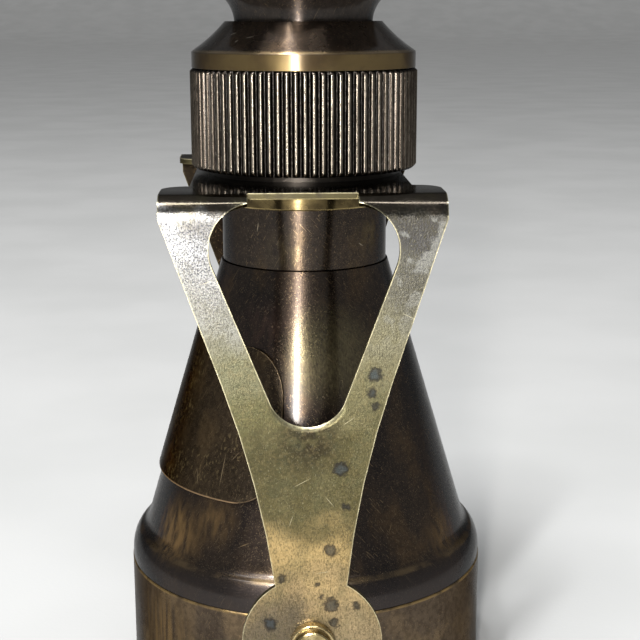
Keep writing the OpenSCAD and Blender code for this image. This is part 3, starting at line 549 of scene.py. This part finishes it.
def yoke_colour(tree):
    wander = between(tree, cloud(tree, 5, start=1), 0.3, 0.7, -0.0016, 0.0016)
    level = plus(tree, coordinate(tree, "Z"), wander)
    # The plating's colours by height, with painted light in them: the left leg painted brighter as
    # painted sunlight from the left, the right leg darker, the upper legs silvery-white partly as a
    # painted sky reflection, and the strip on top dark as a painted dark reflection.
    left = banded(tree, level, (
        (8, (0.090, 0.073, 0.052)), (17, (0.103, 0.082, 0.055)), (22, (0.232, 0.168, 0.086)),
        (26.5, (0.301, 0.215, 0.096)), (33.0, (0.065, 0.056, 0.026)), (40, (0.050, 0.044, 0.021)),
        (44, (0.079, 0.072, 0.034)), (52, (0.108, 0.103, 0.063)), (60, (0.169, 0.166, 0.155)),
        (67, (0.202, 0.202, 0.203)), (69.6, (0.144, 0.140, 0.136)), (70.6, (0.060, 0.050, 0.040))))
    right = banded(tree, level, (
        (8, (0.215, 0.163, 0.101)), (17, (0.258, 0.194, 0.109)), (22, (0.310, 0.224, 0.112)),
        (26.5, (0.301, 0.215, 0.095)), (33.0, (0.069, 0.059, 0.027)), (42, (0.067, 0.058, 0.026)),
        (46, (0.102, 0.091, 0.047)), (54, (0.126, 0.115, 0.071)), (61, (0.088, 0.083, 0.064)),
        (67, (0.042, 0.040, 0.037)), (69.6, (0.043, 0.040, 0.034)), (70.6, (0.054, 0.045, 0.037))))
    across = coordinate(tree, "X")
    colour = tint(tree, between(tree, plus(tree, across, wander), -0.0035, 0.0035), left, right)
    dull = between(tree, cloud(tree, 3.5, (1, 1, 1.5), start=6), 0.48, 0.70)
    colour = tint(tree, times(tree, dull, 0.35), colour, (0.095, 0.085, 0.045))
    # Painted dark reflection and shade under the window's rounded lip.
    shade = times(tree, spot(tree, (-0.4, -25.8, 42.2), 3.6, 2.4),
                  between(tree, cloud(tree, 0.9, detail=4), 0.30, 0.54, 0.35, 1.0))
    colour = tint(tree, times(tree, shade, 0.95), colour, (0.020, 0.016, 0.010))
    # A painted highlight along the window's rounded lower edge.
    lip = times(tree, window_lip(tree), between(tree, cloud(tree, 1.1), 0.3, 0.6, 0.5, 1.0))
    colour = tint(tree, lip, colour, (0.30, 0.27, 0.16))
    lower = by_height(tree, 56, 50)
    for size, share, start, over in ((1.5, 0.22, 13, (0.046, 0.052, 0.030)),
                                     (0.4, 0.20, 12, (0.160, 0.125, 0.060))):
        blot = between(tree, cloud(tree, size, detail=4, start=start), 0.46, 0.66)
        colour = tint(tree, times(tree, times(tree, blot, share), lower), colour, over)
    grain = between(tree, cloud(tree, 0.13, (1, 1, 2.5), detail=2), 0.44, 0.66)
    colour = tint(tree, times(tree, grain, 0.5), colour, (0.034, 0.030, 0.017))
    pit = between(tree, cloud(tree, 0.32, detail=3, start=5), 0.60, 0.72)
    colour = tint(tree, times(tree, pit, 0.55), colour, (0.026, 0.024, 0.018))
    face = times(tree, by_height(tree, 50, 64), by_height(tree, 70.2, 69))
    silvery = times(tree, face, between(tree, across, 0.002, -0.002, 0.5, 1.0))
    bloom = times(tree, between(tree, cloud(tree, 2.2, detail=4, start=7), 0.50, 0.60),
                  times(tree, silvery, between(tree, across, -0.002, 0.002)))
    colour = tint(tree, times(tree, bloom, 0.8), colour, (0.21, 0.21, 0.195))
    bite = times(tree, between(tree, cloud(tree, 0.20, detail=4, start=11), 0.48, 0.61), silvery)
    colour = tint(tree, times(tree, bite, 0.9), colour, (0.035, 0.035, 0.042))
    fleck = between(tree, cloud(tree, 0.11, (1, 1, 3), detail=1, start=8), 0.60, 0.78)
    colour = tint(tree, times(tree, fleck, 0.20), colour, (0.34, 0.31, 0.21))
    for middle, length, lean in (((-1.2, -25.8, 36.5), 3.0, 62), ((2.2, -25.8, 34.0), 2.2, -38),
                                 ((-2.6, -25.8, 31.5), 2.0, 20), ((4.6, -25.8, 44.4), 2.4, 55),
                                 ((-12.4, -25.8, 62.0), 2.2, 70), ((12.0, -25.8, 57.5), 2.6, -64),
                                 ((1.4, -25.8, 24.5), 2.4, 82), ((-4.2, -25.8, 12.0), 2.0, 40)):
        line = scratch(tree, middle, length, lean, width=0.05)
        colour = tint(tree, times(tree, line, 0.5), colour, (0.40, 0.36, 0.24))
    ragged = between(tree, cloud(tree, 0.6, detail=2, start=2), 0.25, 0.75, -0.00022, 0.00022)
    for x, z, size, blue in (
            (7.78, 50.26, 0.85, 1.0), (7.43, 47.98, 0.60, 1.0), (7.94, 46.19, 0.50, 0.6),
            (3.64, 38.24, 0.95, 0.8), (4.27, 33.23, 0.40, 0.5), (2.39, 27.39, 0.85, 0.3),
            (-3.80, 23.74, 0.50, 0.3), (2.39, 20.06, 0.95, 0.5), (5.58, 19.85, 0.50, 0.3),
            (-5.38, 17.62, 0.88, 1.0), (2.77, 17.57, 0.60, 0.4), (0.75, 22.83, 0.22, 0.0),
            (1.12, 21.18, 0.22, 0.0)):
        away = plus(tree, distance(tree, (x, -25.8, z)), ragged)
        core = [0.044 - 0.016 * blue, 0.040 - 0.004 * blue, 0.030 + 0.012 * blue]
        stain = tint(tree, between(tree, away, (size - 0.6) / 1000, (size - 0.1) / 1000), core,
                     (0.015, 0.014, 0.014))
        mask = between(tree, away, (size + 0.26) / 1000, (size - 0.16) / 1000)
        colour = tint(tree, times(tree, mask, 0.8), colour, stain)
    # Painted shade on the rear ears, under the focusing ring.
    painted_shade_behind = times(tree, between(tree, coordinate(tree, "Y"), 0.006, 0.015),
                   by_height(tree, 69, 70.5))
    colour = tint(tree, times(tree, painted_shade_behind, 0.85), colour, (0.016, 0.012, 0.009))
    # The sheet's inside faces are painted near-black as painted shade.
    below = plus(tree, depth_in_sheet(tree), times(tree, window_lip(tree), -LIP_DEPTH / 1000))
    inner = between(tree, below, INNER_FROM / 1000, INNER_FULL / 1000)
    colour = tint(tree, inner, colour, brown_metal(
        tree, (0.010, 0.007, 0.005), (0.019, 0.014, 0.009), (0.030, 0.020, 0.011), 0.05))
    worn = add(tree, "Attribute", attribute_name="worn").outputs["Fac"]
    rubbed = times(tree, worn, between(tree, cloud(tree, 1.4, detail=2), 0.25, 0.55, 0.35, 1.0))
    wall = tint(tree, between(tree, below, 0.00005, 0.00016), (0.40, 0.36, 0.23),
                (0.085, 0.072, 0.036))
    return tint(tree, times(tree, rubbed, 0.9), colour, wall)


def yoke_gloss(tree):
    patch = between(tree, cloud(tree, 3.5, start=5), 0.3, 0.7, 0.32, 0.42)
    grain = between(tree, cloud(tree, 0.18, detail=1), 0.35, 0.7, 0.0, 0.10)
    leg = plus(tree, patch, grain)
    mirror = times(tree, by_height(tree, 69, 70.2, 0.0, -0.26),
                   between(tree, coordinate(tree, "Y"), 0.015, 0.006))
    inner = between(tree, depth_in_sheet(tree), INNER_FROM / 1000, INNER_FULL / 1000, 0.0, 0.3)
    return plus(tree, plus(tree, leg, mirror), inner)


def yoke_pits(tree):
    pit = between(tree, cloud(tree, 0.2, detail=3), 0.3, 0.75, 0.6, 0.0)
    brushed = times(tree, cloud(tree, 0.13, (1, 1, 14), detail=1), 0.35)
    dents = times(tree, cloud(tree, 3.0, detail=1), 1.5)
    rough = plus(tree, plus(tree, pit, brushed), dents)
    return times(tree, rough, by_height(tree, 69, 70.5, 1.0, 0.15))


slope = math.atan((EAR_X - KNEE_X) / (EAR_FOOT_Z - KNEE_Z))
flank = Vector((KNEE_X + FLANK_R * math.cos(slope), KNEE_Z - FLANK_R * math.sin(slope)))
reach = flank - Vector((0, SCREW_Z))
waist = math.atan2(reach.y, reach.x) + math.acos(
    (reach.length_squared + END_R ** 2 - FLANK_R ** 2) / (2 * reach.length * END_R))
waist_at = Vector((END_R * math.cos(waist), SCREW_Z + END_R * math.sin(waist))) - flank
flank_turn = math.degrees(math.atan2(waist_at.y, waist_at.x)) - (180 - math.degrees(slope))
side = Vector((LOBE_X, LOBE_Z - WINDOW_Z))
lean = math.atan2(side.y, side.x) - math.asin((LOBE_R - WINDOW_R) / side.length) - math.pi / 2
lobe_end = math.degrees(math.acos((SLOT_X - LOBE_X) / LOBE_R))
bm = bmesh.new()
first = bm.verts.new((0, 0, WINDOW_Z - WINDOW_R))
last = draw(bm, first, [
    (0, WINDOW_Z, 90 + math.degrees(lean)),
    (LOBE_X + LOBE_R * math.cos(lean), LOBE_Z + LOBE_R * math.sin(lean)),
    (LOBE_X, LOBE_Z, lobe_end - math.degrees(lean))])
for v in bm.verts:
    over = min(1.0, max(0.0, (v.co.z - BEND_Z) / BEND_R))
    v.co.z = min(v.co.z, BEND_Z) + BEND_R * math.asin(over) - FLAT
last = draw(bm, last, [
    (SLOT_X, -SLOT_Y), (0, -SLOT_Y), (0, -HOLE_R), (0, 0, 90), (STRIP_X, 0), (STRIP_X, -EAR_Y),
    (EAR_X - EAR_ROUND, -EAR_Y), (EAR_X - EAR_ROUND, -EAR_Y - EAR_ROUND, -90),
    (EAR_X, EAR_FOOT_Z - FLAT), (KNEE_X, KNEE_Z - FLAT), (flank.x, flank.y - FLAT, flank_turn),
    (0, SCREW_Z - FLAT, -90 - math.degrees(waist))])
bm.edges.new((last, first))
bmesh.ops.contextual_create(bm, geom=bm.edges[:])
for cut in [BEND_Y + BEND_WAY * step / BEND_CUTS for step in range(BEND_CUTS + 1)] + LEG_CUTS:
    bmesh.ops.bisect_plane(bm, geom=everything(bm), plane_co=(0, 0, -cut), plane_no=(0, 0, 1))
for v in bm.verts:
    way = -v.co.z
    turn = min(max((way - BEND_Y) / BEND_R, 0), math.pi / 2)
    v.co = (v.co.x, -min(way, BEND_Y) - BEND_R * math.sin(turn),
            BEND_Z + BEND_R * math.cos(turn) - max(0, way - BEND_Y - BEND_WAY))
for axis in "XY":
    bmesh.ops.mirror(bm, geom=everything(bm), merge_dist=0.001, axis=axis)
bmesh.ops.recalc_face_normals(bm, faces=bm.faces)
if sum(f.normal.z * f.calc_area() for f in bm.faces) < 0:
    bmesh.ops.reverse_faces(bm, faces=bm.faces)
rub_edges(bm)
lip_faces = [f for f in bm.faces if not any(e.is_boundary for e in f.edges)
             and abs(f.calc_center_bounds().z - WINDOW_Z) < WINDOW_R]
for band in LIP_BANDS:
    bmesh.ops.inset_region(bm, faces=lip_faces, thickness=band, depth=0.0, use_even_offset=True)
for v in bm.verts:
    inside = 1 - (math.hypot(v.co.x, v.co.z - WINDOW_Z) - WINDOW_R) / LIP_WIDE
    low = (LIP_HIGH - v.co.z) / (LIP_HIGH - LIP_LOW)
    dip = LIP_DEPTH * max(0.0, min(1.0, inside)) ** 2 * max(0.0, min(1.0, low))
    v.co.y -= math.copysign(dip, v.co.y)
for v in bm.verts:  # all but the hole's rim, which stays round the neck
    if math.hypot(v.co.x, v.co.y) > HOLE_R + 0.4 or v.co.z < YOKE_TOP - 0.1:
        v.co.x -= SET_OVER * (v.co.z - SCREW_Z) / (YOKE_TOP - SCREW_Z)
yoke = finished("bent_yoke", bm, 0.10, SHEET_T)
yoke.data.materials.append(finish("yoke_plating", yoke_colour, yoke_gloss, yoke_pits, 0.015,
                                  slant=0.5))
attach(yoke, "tube")
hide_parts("yoke")

# ---------------------------------------------------------------- yoke screws
# Two slotted brass screws, polished by handling, pin the yoke's round ends to the bell.
# Each has a drum, a groove and a tapered front, and screws into a boss in the skirt.
SHANK_R, SHANK_FOOT, SHANK_CUT, SCREW_SEAT = 1.5, -5.5, 0.2, 25.82
DRUM_R, DRUM_FOOT_R, DRUM_FOOT_CUT, DRUM_TOP, DRUM_CUT = 2.85, 2.78, 0.07, 1.4, 0.1
GROOVE_R, GROOVE_TOP, FRONT_R, FRONT_Z, FACE_CUT_R, FACE_CUT_Z, FACE_R, HEAD_TOP = (
    2.55, 1.6, 2.52, 1.64, 2.36, 2.25, 2.2, 2.4)
SLIT_HALF, SLIT_FLOOR = 0.4, 1.6


def screw_colour(tree):
    mottle = between(tree, cloud(tree, 1.6), 0.35, 0.7)
    colour = tint(tree, mottle, (0.26, 0.200, 0.095), (0.50, 0.40, 0.215))
    stain = between(tree, cloud(tree, 0.35, detail=2, start=4), 0.56, 0.70)
    return tint(tree, times(tree, stain, 0.5), colour, (0.14, 0.085, 0.035))


screw_bright = finish("screw_bright", screw_colour, polished, lathe_marks, 0.008)


def yoke_screw(name, node, turn):
    """A screw along +Z with its slit cut by halving, put in place by a turn matrix in mm."""
    bm = bmesh.new()
    first = bm.verts.new((0, 0, SHANK_FOOT))
    draw(bm, first, [
        (SHANK_R - SHANK_CUT, SHANK_FOOT), (SHANK_R, SHANK_FOOT + SHANK_CUT), (SHANK_R, 0),
        (DRUM_FOOT_R, 0), (DRUM_R, DRUM_FOOT_CUT), (DRUM_R, DRUM_TOP - DRUM_CUT),
        (DRUM_R - DRUM_CUT, DRUM_TOP), (GROOVE_R, DRUM_TOP), (GROOVE_R, GROOVE_TOP),
        (FRONT_R, FRONT_Z), (FACE_CUT_R, FACE_CUT_Z), (FACE_R, HEAD_TOP), (0, HEAD_TOP)])
    bmesh.ops.spin(bm, geom=everything(bm), cent=(0, 0, 0), axis=(0, 0, 1), angle=math.tau,
                   steps=72, use_merge=True)
    bmesh.ops.remove_doubles(bm, verts=bm.verts, dist=0.001)
    bmesh.ops.recalc_face_normals(bm, faces=bm.faces)
    slit = ((1, -SLIT_HALF), (1, SLIT_HALF), (2, SLIT_FLOOR))
    for coord, at in slit:
        way = [0, 0, 0]
        way[coord] = 1
        bmesh.ops.bisect_plane(bm, geom=everything(bm), plane_co=[at * w for w in way],
                               plane_no=way)
    inside = [f for f in bm.faces if abs(f.calc_center_median().y) < SLIT_HALF
              and f.calc_center_median().z > SLIT_FLOOR]
    bmesh.ops.delete(bm, geom=inside, context="FACES")
    for coord, at in slit:
        rim = [e for e in bm.edges if e.is_boundary
               and all(abs(v.co[coord] - at) < 1e-4 for v in e.verts)]
        bmesh.ops.contextual_create(bm, geom=rim)
    bmesh.ops.transform(bm, matrix=turn, verts=bm.verts)
    head = finished(name, bm, 0.0)
    head.data.set_sharp_from_angle(angle=math.radians(28))
    head.data.materials.append(screw_bright)
    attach(head, "tube")
    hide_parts(node)


yoke_screw("screw_front", "yoke_screw_front",
           Matrix.Translation((0, -SCREW_SEAT, SCREW_Z)) @ Matrix.Rotation(math.pi / 2, 4, "X"))
yoke_screw("screw_rear", "yoke_screw_rear",
           Matrix.Translation((0, SCREW_SEAT, SCREW_Z)) @ Matrix.Rotation(-math.pi / 2, 4, "X"))

# ---------------------------------------------------------------- clamp nut
# A thin nut screwed down on the yoke's strip, painted near-black as painted shade in the gap. It
# shows as the dark line between the sheet and the focusing ring.
machined("nut_painted_shade", (0.030, 0.026, 0.022), 0.34, ["clamp_nut"])

# ---------------------------------------------------------------- focusing ring
# A turned brass ring with 83 straight ribs rolled into it, painted near-black in the grooves as
# painted shade and rubbed smooth along the crests. It turns on the neck and carries the cap and
# the lead nut.
RIBS, CREST_R, ROOT_R, RING_LOW, RING_HIGH, RING_CUT = 83, 15.3, 14.85, 73.1, 86.3, 0.42
RING_BORE, CHAMBER_R, CHAMBER_FLOOR = 10.95, 13.0, 79.9


def rib_colour(tree):
    flat = add(tree, "VectorMath", {0: place(tree), 1: (1, 1, 0)}, operation="MULTIPLY").outputs[0]
    out = add(tree, "VectorMath", {0: flat}, operation="LENGTH").outputs["Value"]
    # Painted shade in the grooves: near-black below the crests.
    colour = tint(tree, between(tree, out, 0.01496, 0.01518), (0.0045, 0.0036, 0.0030),
                  (0.042, 0.033, 0.025))
    rubbed = times(tree, between(tree, out, 0.01519, 0.01528),
                   between(tree, cloud(tree, 2.2, (1, 1, 3)), 0.25, 0.60, 0.35, 1.0))
    colour = tint(tree, times(tree, rubbed, 0.85), colour, (0.20, 0.174, 0.140))
    grime = between(tree, cloud(tree, 0.3, (1, 1, 2), detail=3, start=4), 0.48, 0.66)
    return tint(tree, times(tree, grime, 0.4), colour, (0.030, 0.024, 0.018))


def rib_gloss(tree):
    return between(tree, cloud(tree, 0.4, (1, 1, 3)), 0.3, 0.7, 0.18, 0.32)


def pulled(bm, edges):
    """Pulls edges out into faces, and gives the new edges and the set of their vertices."""
    made = bmesh.ops.extrude_edge_only(bm, edges=edges)["geom"]
    ends = {g for g in made if isinstance(g, bmesh.types.BMVert)}
    return [g for g in made if isinstance(g, bmesh.types.BMEdge) and set(g.verts) <= ends], ends


bm = bmesh.new()
pitch = math.tau / RIBS
edges = []
last = None
for across, r in ((-0.40, ROOT_R), (-0.32, ROOT_R + 0.07), (-0.25, CREST_R - 0.16),
                  (-0.18, CREST_R - 0.06), (-0.09, CREST_R - 0.015), (0, CREST_R),
                  (0.09, CREST_R - 0.015), (0.18, CREST_R - 0.06), (0.25, CREST_R - 0.16),
                  (0.32, ROOT_R + 0.07), (0.40, ROOT_R), (0.60, ROOT_R)):
    v = bm.verts.new((r * math.cos(across * pitch), r * math.sin(across * pitch), RING_LOW))
    if last:
        edges.append(bm.edges.new((last, v)))
    last = v
for z in (RING_LOW + 0.12, RING_LOW + RING_CUT, RING_LOW + 0.55, RING_HIGH - 0.55,
          RING_HIGH - RING_CUT, RING_HIGH - 0.12, RING_HIGH):
    edges, ends = pulled(bm, edges)
    for v in ends:
        v.co.z = z
for v in bm.verts:
    most = CREST_R - max(0.0, RING_CUT - min(v.co.z - RING_LOW, RING_HIGH - v.co.z))
    size = min(1.0, most / math.hypot(v.co.x, v.co.y))
    v.co.x *= size
    v.co.y *= size
bmesh.ops.spin(bm, geom=everything(bm), cent=(0, 0, 0), axis=(0, 0, 1), angle=math.tau,
               steps=RIBS, use_duplicate=True)
bmesh.ops.remove_doubles(bm, verts=bm.verts, dist=0.004)
rim = [e for e in bm.edges if e.is_boundary and e.verts[0].co.z < RING_LOW + 0.01]
top = [e for e in bm.edges if e.is_boundary and e.verts[0].co.z > RING_HIGH - 0.01]
for r, z in ((RING_BORE, RING_LOW), (RING_BORE, CHAMBER_FLOOR), (CHAMBER_R, CHAMBER_FLOOR),
             (CHAMBER_R, RING_HIGH)):
    rim, ends = pulled(bm, rim)
    for v in ends:
        size = r / math.hypot(v.co.x, v.co.y)
        v.co = (v.co.x * size, v.co.y * size, z)
bmesh.ops.bridge_loops(bm, edges=top + rim)
bmesh.ops.recalc_face_normals(bm, faces=bm.faces)
ring = finished("ribbed_ring", bm, 0.0)
ring.data.set_sharp_from_angle(angle=math.radians(50))
ring.data.materials.append(finish("ring_browned", rib_colour, rib_gloss, fine_wear, 0.005, coat=0.1,
                                  slant=0.2))
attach(ring, "focuser")
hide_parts("focus_ring")

# ---------------------------------------------------------------- cap ring
# The cap is turned in one piece: a flat band over the ribs, worn to golden brass by the
# fingers, and a hollow cone up to the eyecup. It screws into the focusing ring.
BAND_R, BAND_FOOT, BAND_TOP, FOOT_STEP, BAND_CUT = 15.05, 86.31, 88.6, 0.05, 0.2
CAP_TOP_R, CAP_TOP, HOLLOW_R = 10.55, 92.35, 20.0
THREAD_R, THREAD_FOOT, CAP_BORE, CAP_HOLE, CAP_LEDGE = 12.95, 84.16, 10.25, 9.3, 91.15


def cap_colour(tree):
    colour = brown_metal(tree, (0.040, 0.030, 0.024), (0.062, 0.044, 0.032), (0.085, 0.056, 0.035))
    band = times(tree, by_height(tree, 88.45, 88.2), by_height(tree, 86.2, 86.4))
    golden = tint(tree, between(tree, cloud(tree, 9, start=1), 0.40, 0.60), (0.095, 0.060, 0.024),
                  (0.185, 0.127, 0.050))
    rubbed = times(tree, band, between(tree, cloud(tree, 1.8, (1, 1, 0.6)), 0.15, 0.5, 0.6, 1.0))
    colour = tint(tree, times(tree, rubbed, 0.9), colour, golden)
    edge = times(tree, by_height(tree, 88.3, 88.5), by_height(tree, 88.8, 88.6))
    colour = tint(tree, times(tree, edge, 0.6), colour, (0.32, 0.23, 0.12))
    for middle, length, lean in (((-9.2, -8.1, 90.8), 1.0, 72), ((-7.1, -10.6, 90.4), 1.5, 80),
                                 ((-8.8, -10.0, 89.9), 0.8, 60)):
        line = scratch(tree, middle, length, lean, width=0.07)
        colour = tint(tree, times(tree, line, 0.6), colour, (0.55, 0.48, 0.38))
    return colour


def cap_gloss(tree):
    grain = between(tree, cloud(tree, 3, start=5), 0.3, 0.7, 0.24, 0.30)
    return plus(tree, grain, by_height(tree, 88.65, 88.4, 0.0, 0.08))


hollow_r = BAND_R - BAND_CUT
chord = Vector((hollow_r - CAP_TOP_R, CAP_TOP - BAND_TOP))
half = math.asin(chord.length / 2 / HOLLOW_R)
square = Vector((chord.y, chord.x)).normalized() * HOLLOW_R * math.cos(half)
cap = turned("cap_cone", (CAP_BORE, THREAD_FOOT), [
    (THREAD_R, THREAD_FOOT), (THREAD_R, BAND_FOOT), (BAND_R - FOOT_STEP, BAND_FOOT),
    (BAND_R, BAND_FOOT + FOOT_STEP), (BAND_R, BAND_TOP - BAND_CUT), (hollow_r, BAND_TOP),
    ((hollow_r + CAP_TOP_R) / 2 + square.x, (BAND_TOP + CAP_TOP) / 2 + square.y,
     -2 * math.degrees(half)),
    (CAP_HOLE, CAP_TOP), (CAP_HOLE, CAP_LEDGE), (CAP_BORE, CAP_LEDGE)], 0.05)
cap.data.materials.append(finish("cap_worn", cap_colour, cap_gloss, lathe_marks, 0.005,
                                 coat=0.4, turning=1.0, slant=0.4))
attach(cap, "focuser")
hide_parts("cap_ring")

# ---------------------------------------------------------------- draw tube
# The draw tube slides in the neck and carries the eyepiece. It is kept greased and brown,
# and a slot in its rear takes the guide screw.
machined("tube_greased", (0.24, 0.16, 0.07), 0.28, ["draw_tube"])

# ---------------------------------------------------------------- eyecup
# The eyecup is turned from blackened brass: a shank that slides through the cap, a wide
# flare with a round rim, and a dish to rest the eye against.
RIM_X, RIM_Z, RIM_ROUND, DISH_R, EYE_HOLE_R, EYE_HOLE_Z = 13.95, 97.71, 0.75, 26.0, 4.5, 93.59
CELL_BORE, SHANK_LOW, SLIDE_R, SLIDE_TOP, CUP_R = 8.1, 84.05, 8.95, 87.06, 9.25
FLARE_X, FLARE_Z, FLARE_TURN = 13.75, 92.1, -70


def cup_colour(tree):
    colour = brown_metal(tree, (0.034, 0.027, 0.023), (0.058, 0.045, 0.036),
                         (0.080, 0.060, 0.043), 0.1)
    rim = times(tree, by_height(tree, 97.2, 97.9), between(tree, cloud(tree, 2.5), 0.3, 0.65))
    return tint(tree, times(tree, rim, 0.5), colour, (0.20, 0.135, 0.065))


def cup_gloss(tree):
    return between(tree, cloud(tree, 5), 0.3, 0.7, 0.36, 0.44)


dish_z = RIM_Z + RIM_ROUND + math.sqrt(DISH_R ** 2 - RIM_X ** 2)
cup = turned("eyecup_flare", (CELL_BORE, SHANK_LOW), [
    (SLIDE_R, SHANK_LOW), (SLIDE_R, SLIDE_TOP), (CUP_R, SLIDE_TOP), (CUP_R, FLARE_Z),
    (FLARE_X, FLARE_Z, FLARE_TURN), (RIM_X, RIM_Z - RIM_ROUND), (RIM_X, RIM_Z, 180),
    (0, dish_z, -math.degrees(math.asin(RIM_X / DISH_R) - math.asin(EYE_HOLE_R / DISH_R))),
    (EYE_HOLE_R, EYE_HOLE_Z), (CELL_BORE, EYE_HOLE_Z)], 0.05)
cup.data.materials.append(finish("cup_black", cup_colour, cup_gloss, lathe_marks, 0.004,
                                 coat=0.3, turning=1.0, slant=0.3))
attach(cup, "eyepiece")
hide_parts("eyecup")

# ---------------------------------------------------------------- floor
# A plain pale studio sheet that lies flat under the spyglass and runs up behind it.
bm = bmesh.new()
edge = bm.edges.new([bm.verts.new((x, -4.0, 0)) for x in (-6.0, 6.0)])
for y, z in ((4.0, 0), (4.4, 0.04), (4.8, 0.18), (5.1, 0.45), (5.2, 0.9), (5.2, 4.0)):
    (edge,), ends = pulled(bm, [edge])
    for v in ends:
        v.co.y, v.co.z = y, z
bmesh.ops.recalc_face_normals(bm, faces=bm.faces)
bmesh.ops.scale(bm, vec=(1000, 1000, 1000), verts=bm.verts)
floor = finished("floor", bm, 0.0)


def floor_colour(tree):
    return tint(tree, between(tree, cloud(tree, 60), 0.3, 0.7), (0.36, 0.357, 0.348),
                (0.39, 0.386, 0.377))


def floor_gloss(tree):
    return between(tree, cloud(tree, 40), 0.3, 0.7, 0.75, 0.85)


def floor_tooth(tree):
    return cloud(tree, 0.8, detail=2)


floor.data.materials.append(finish("floor_pale", floor_colour, floor_gloss, floor_tooth, 0.02, 0.0))

# ---------------------------------------------------------------- light
# A slim upright lamp at the left of the camera draws the bright upright lines, two lamps
# overhead draw those on the bends and the cap, and a broad light and an even pale sky
# light the floor.


def aimed(thing, at, aim):
    stand = bpy.data.objects.new(thing.name, thing)
    bpy.context.collection.objects.link(stand)
    facing = (Vector(aim) - Vector(at)).to_track_quat("-Z", "Y").to_matrix().to_4x4()
    stand.matrix_world = Matrix.Translation(at) @ facing


strip = bpy.data.lights.new("strip_lamp", "AREA")
strip.shape = "RECTANGLE"
strip.size, strip.size_y = 0.032, 0.30
strip.energy = 11.0
strip.color = (1.0, 0.985, 0.96)
aimed(strip, (-0.139, -0.788, 0.17), (0, 0, 0.06))
for name, across, up, power, at in (("bar_lamp", 0.8, 0.12, 4.4, (-0.10, -0.28, 0.85)),
                                    ("slim_lamp", 0.03, 0.35, 9.0, (-0.19, -0.352, 0.78))):
    lamp = bpy.data.lights.new(name, "AREA")
    lamp.shape = "RECTANGLE"
    lamp.size, lamp.size_y = across, up
    lamp.energy = power
    lamp.color = (0.96, 0.98, 1.0)
    aimed(lamp, at, (0, 0, 0.05))
sun = bpy.data.lights.new("broad_light", "SUN")
sun.energy = 0.95
sun.angle = math.radians(22)
aimed(sun, (-0.55, -0.8, 1.35), (0, 0, 0))
sky = bpy.data.worlds.new("sky")
sky.use_nodes = True
sky.node_tree.nodes["Background"].inputs["Color"].default_value = (0.94, 0.97, 1.0, 1)
sky.node_tree.nodes["Background"].inputs["Strength"].default_value = 0.40
bpy.context.scene.world = sky
bpy.context.scene.view_settings.view_transform = "Standard"

# ---------------------------------------------------------------- camera
# The spyglass stands upright and is seen from the front and above, from close by: the
# picture cuts off the eyecup's flare above and the bell's foot below.
camera = bpy.data.cameras.new("camera")
camera.lens = 74.7
camera.sensor_width = 36
camera.sensor_fit = "HORIZONTAL"
camera.clip_start = 0.005
stand = bpy.data.objects.new("camera", camera)
bpy.context.collection.objects.link(stand)
ahead = Vector((0.03945, 0.97373, -0.22425)).normalized()
aside = Vector((0.99916, -0.04101, -0.0023)).normalized()
frame_turn = Matrix((aside, aside.cross(ahead), -ahead)).transposed().to_4x4()
stand.matrix_world = Matrix.Translation((-0.005247, -0.181937, 0.093192)) @ frame_turn
bpy.context.scene.camera = stand
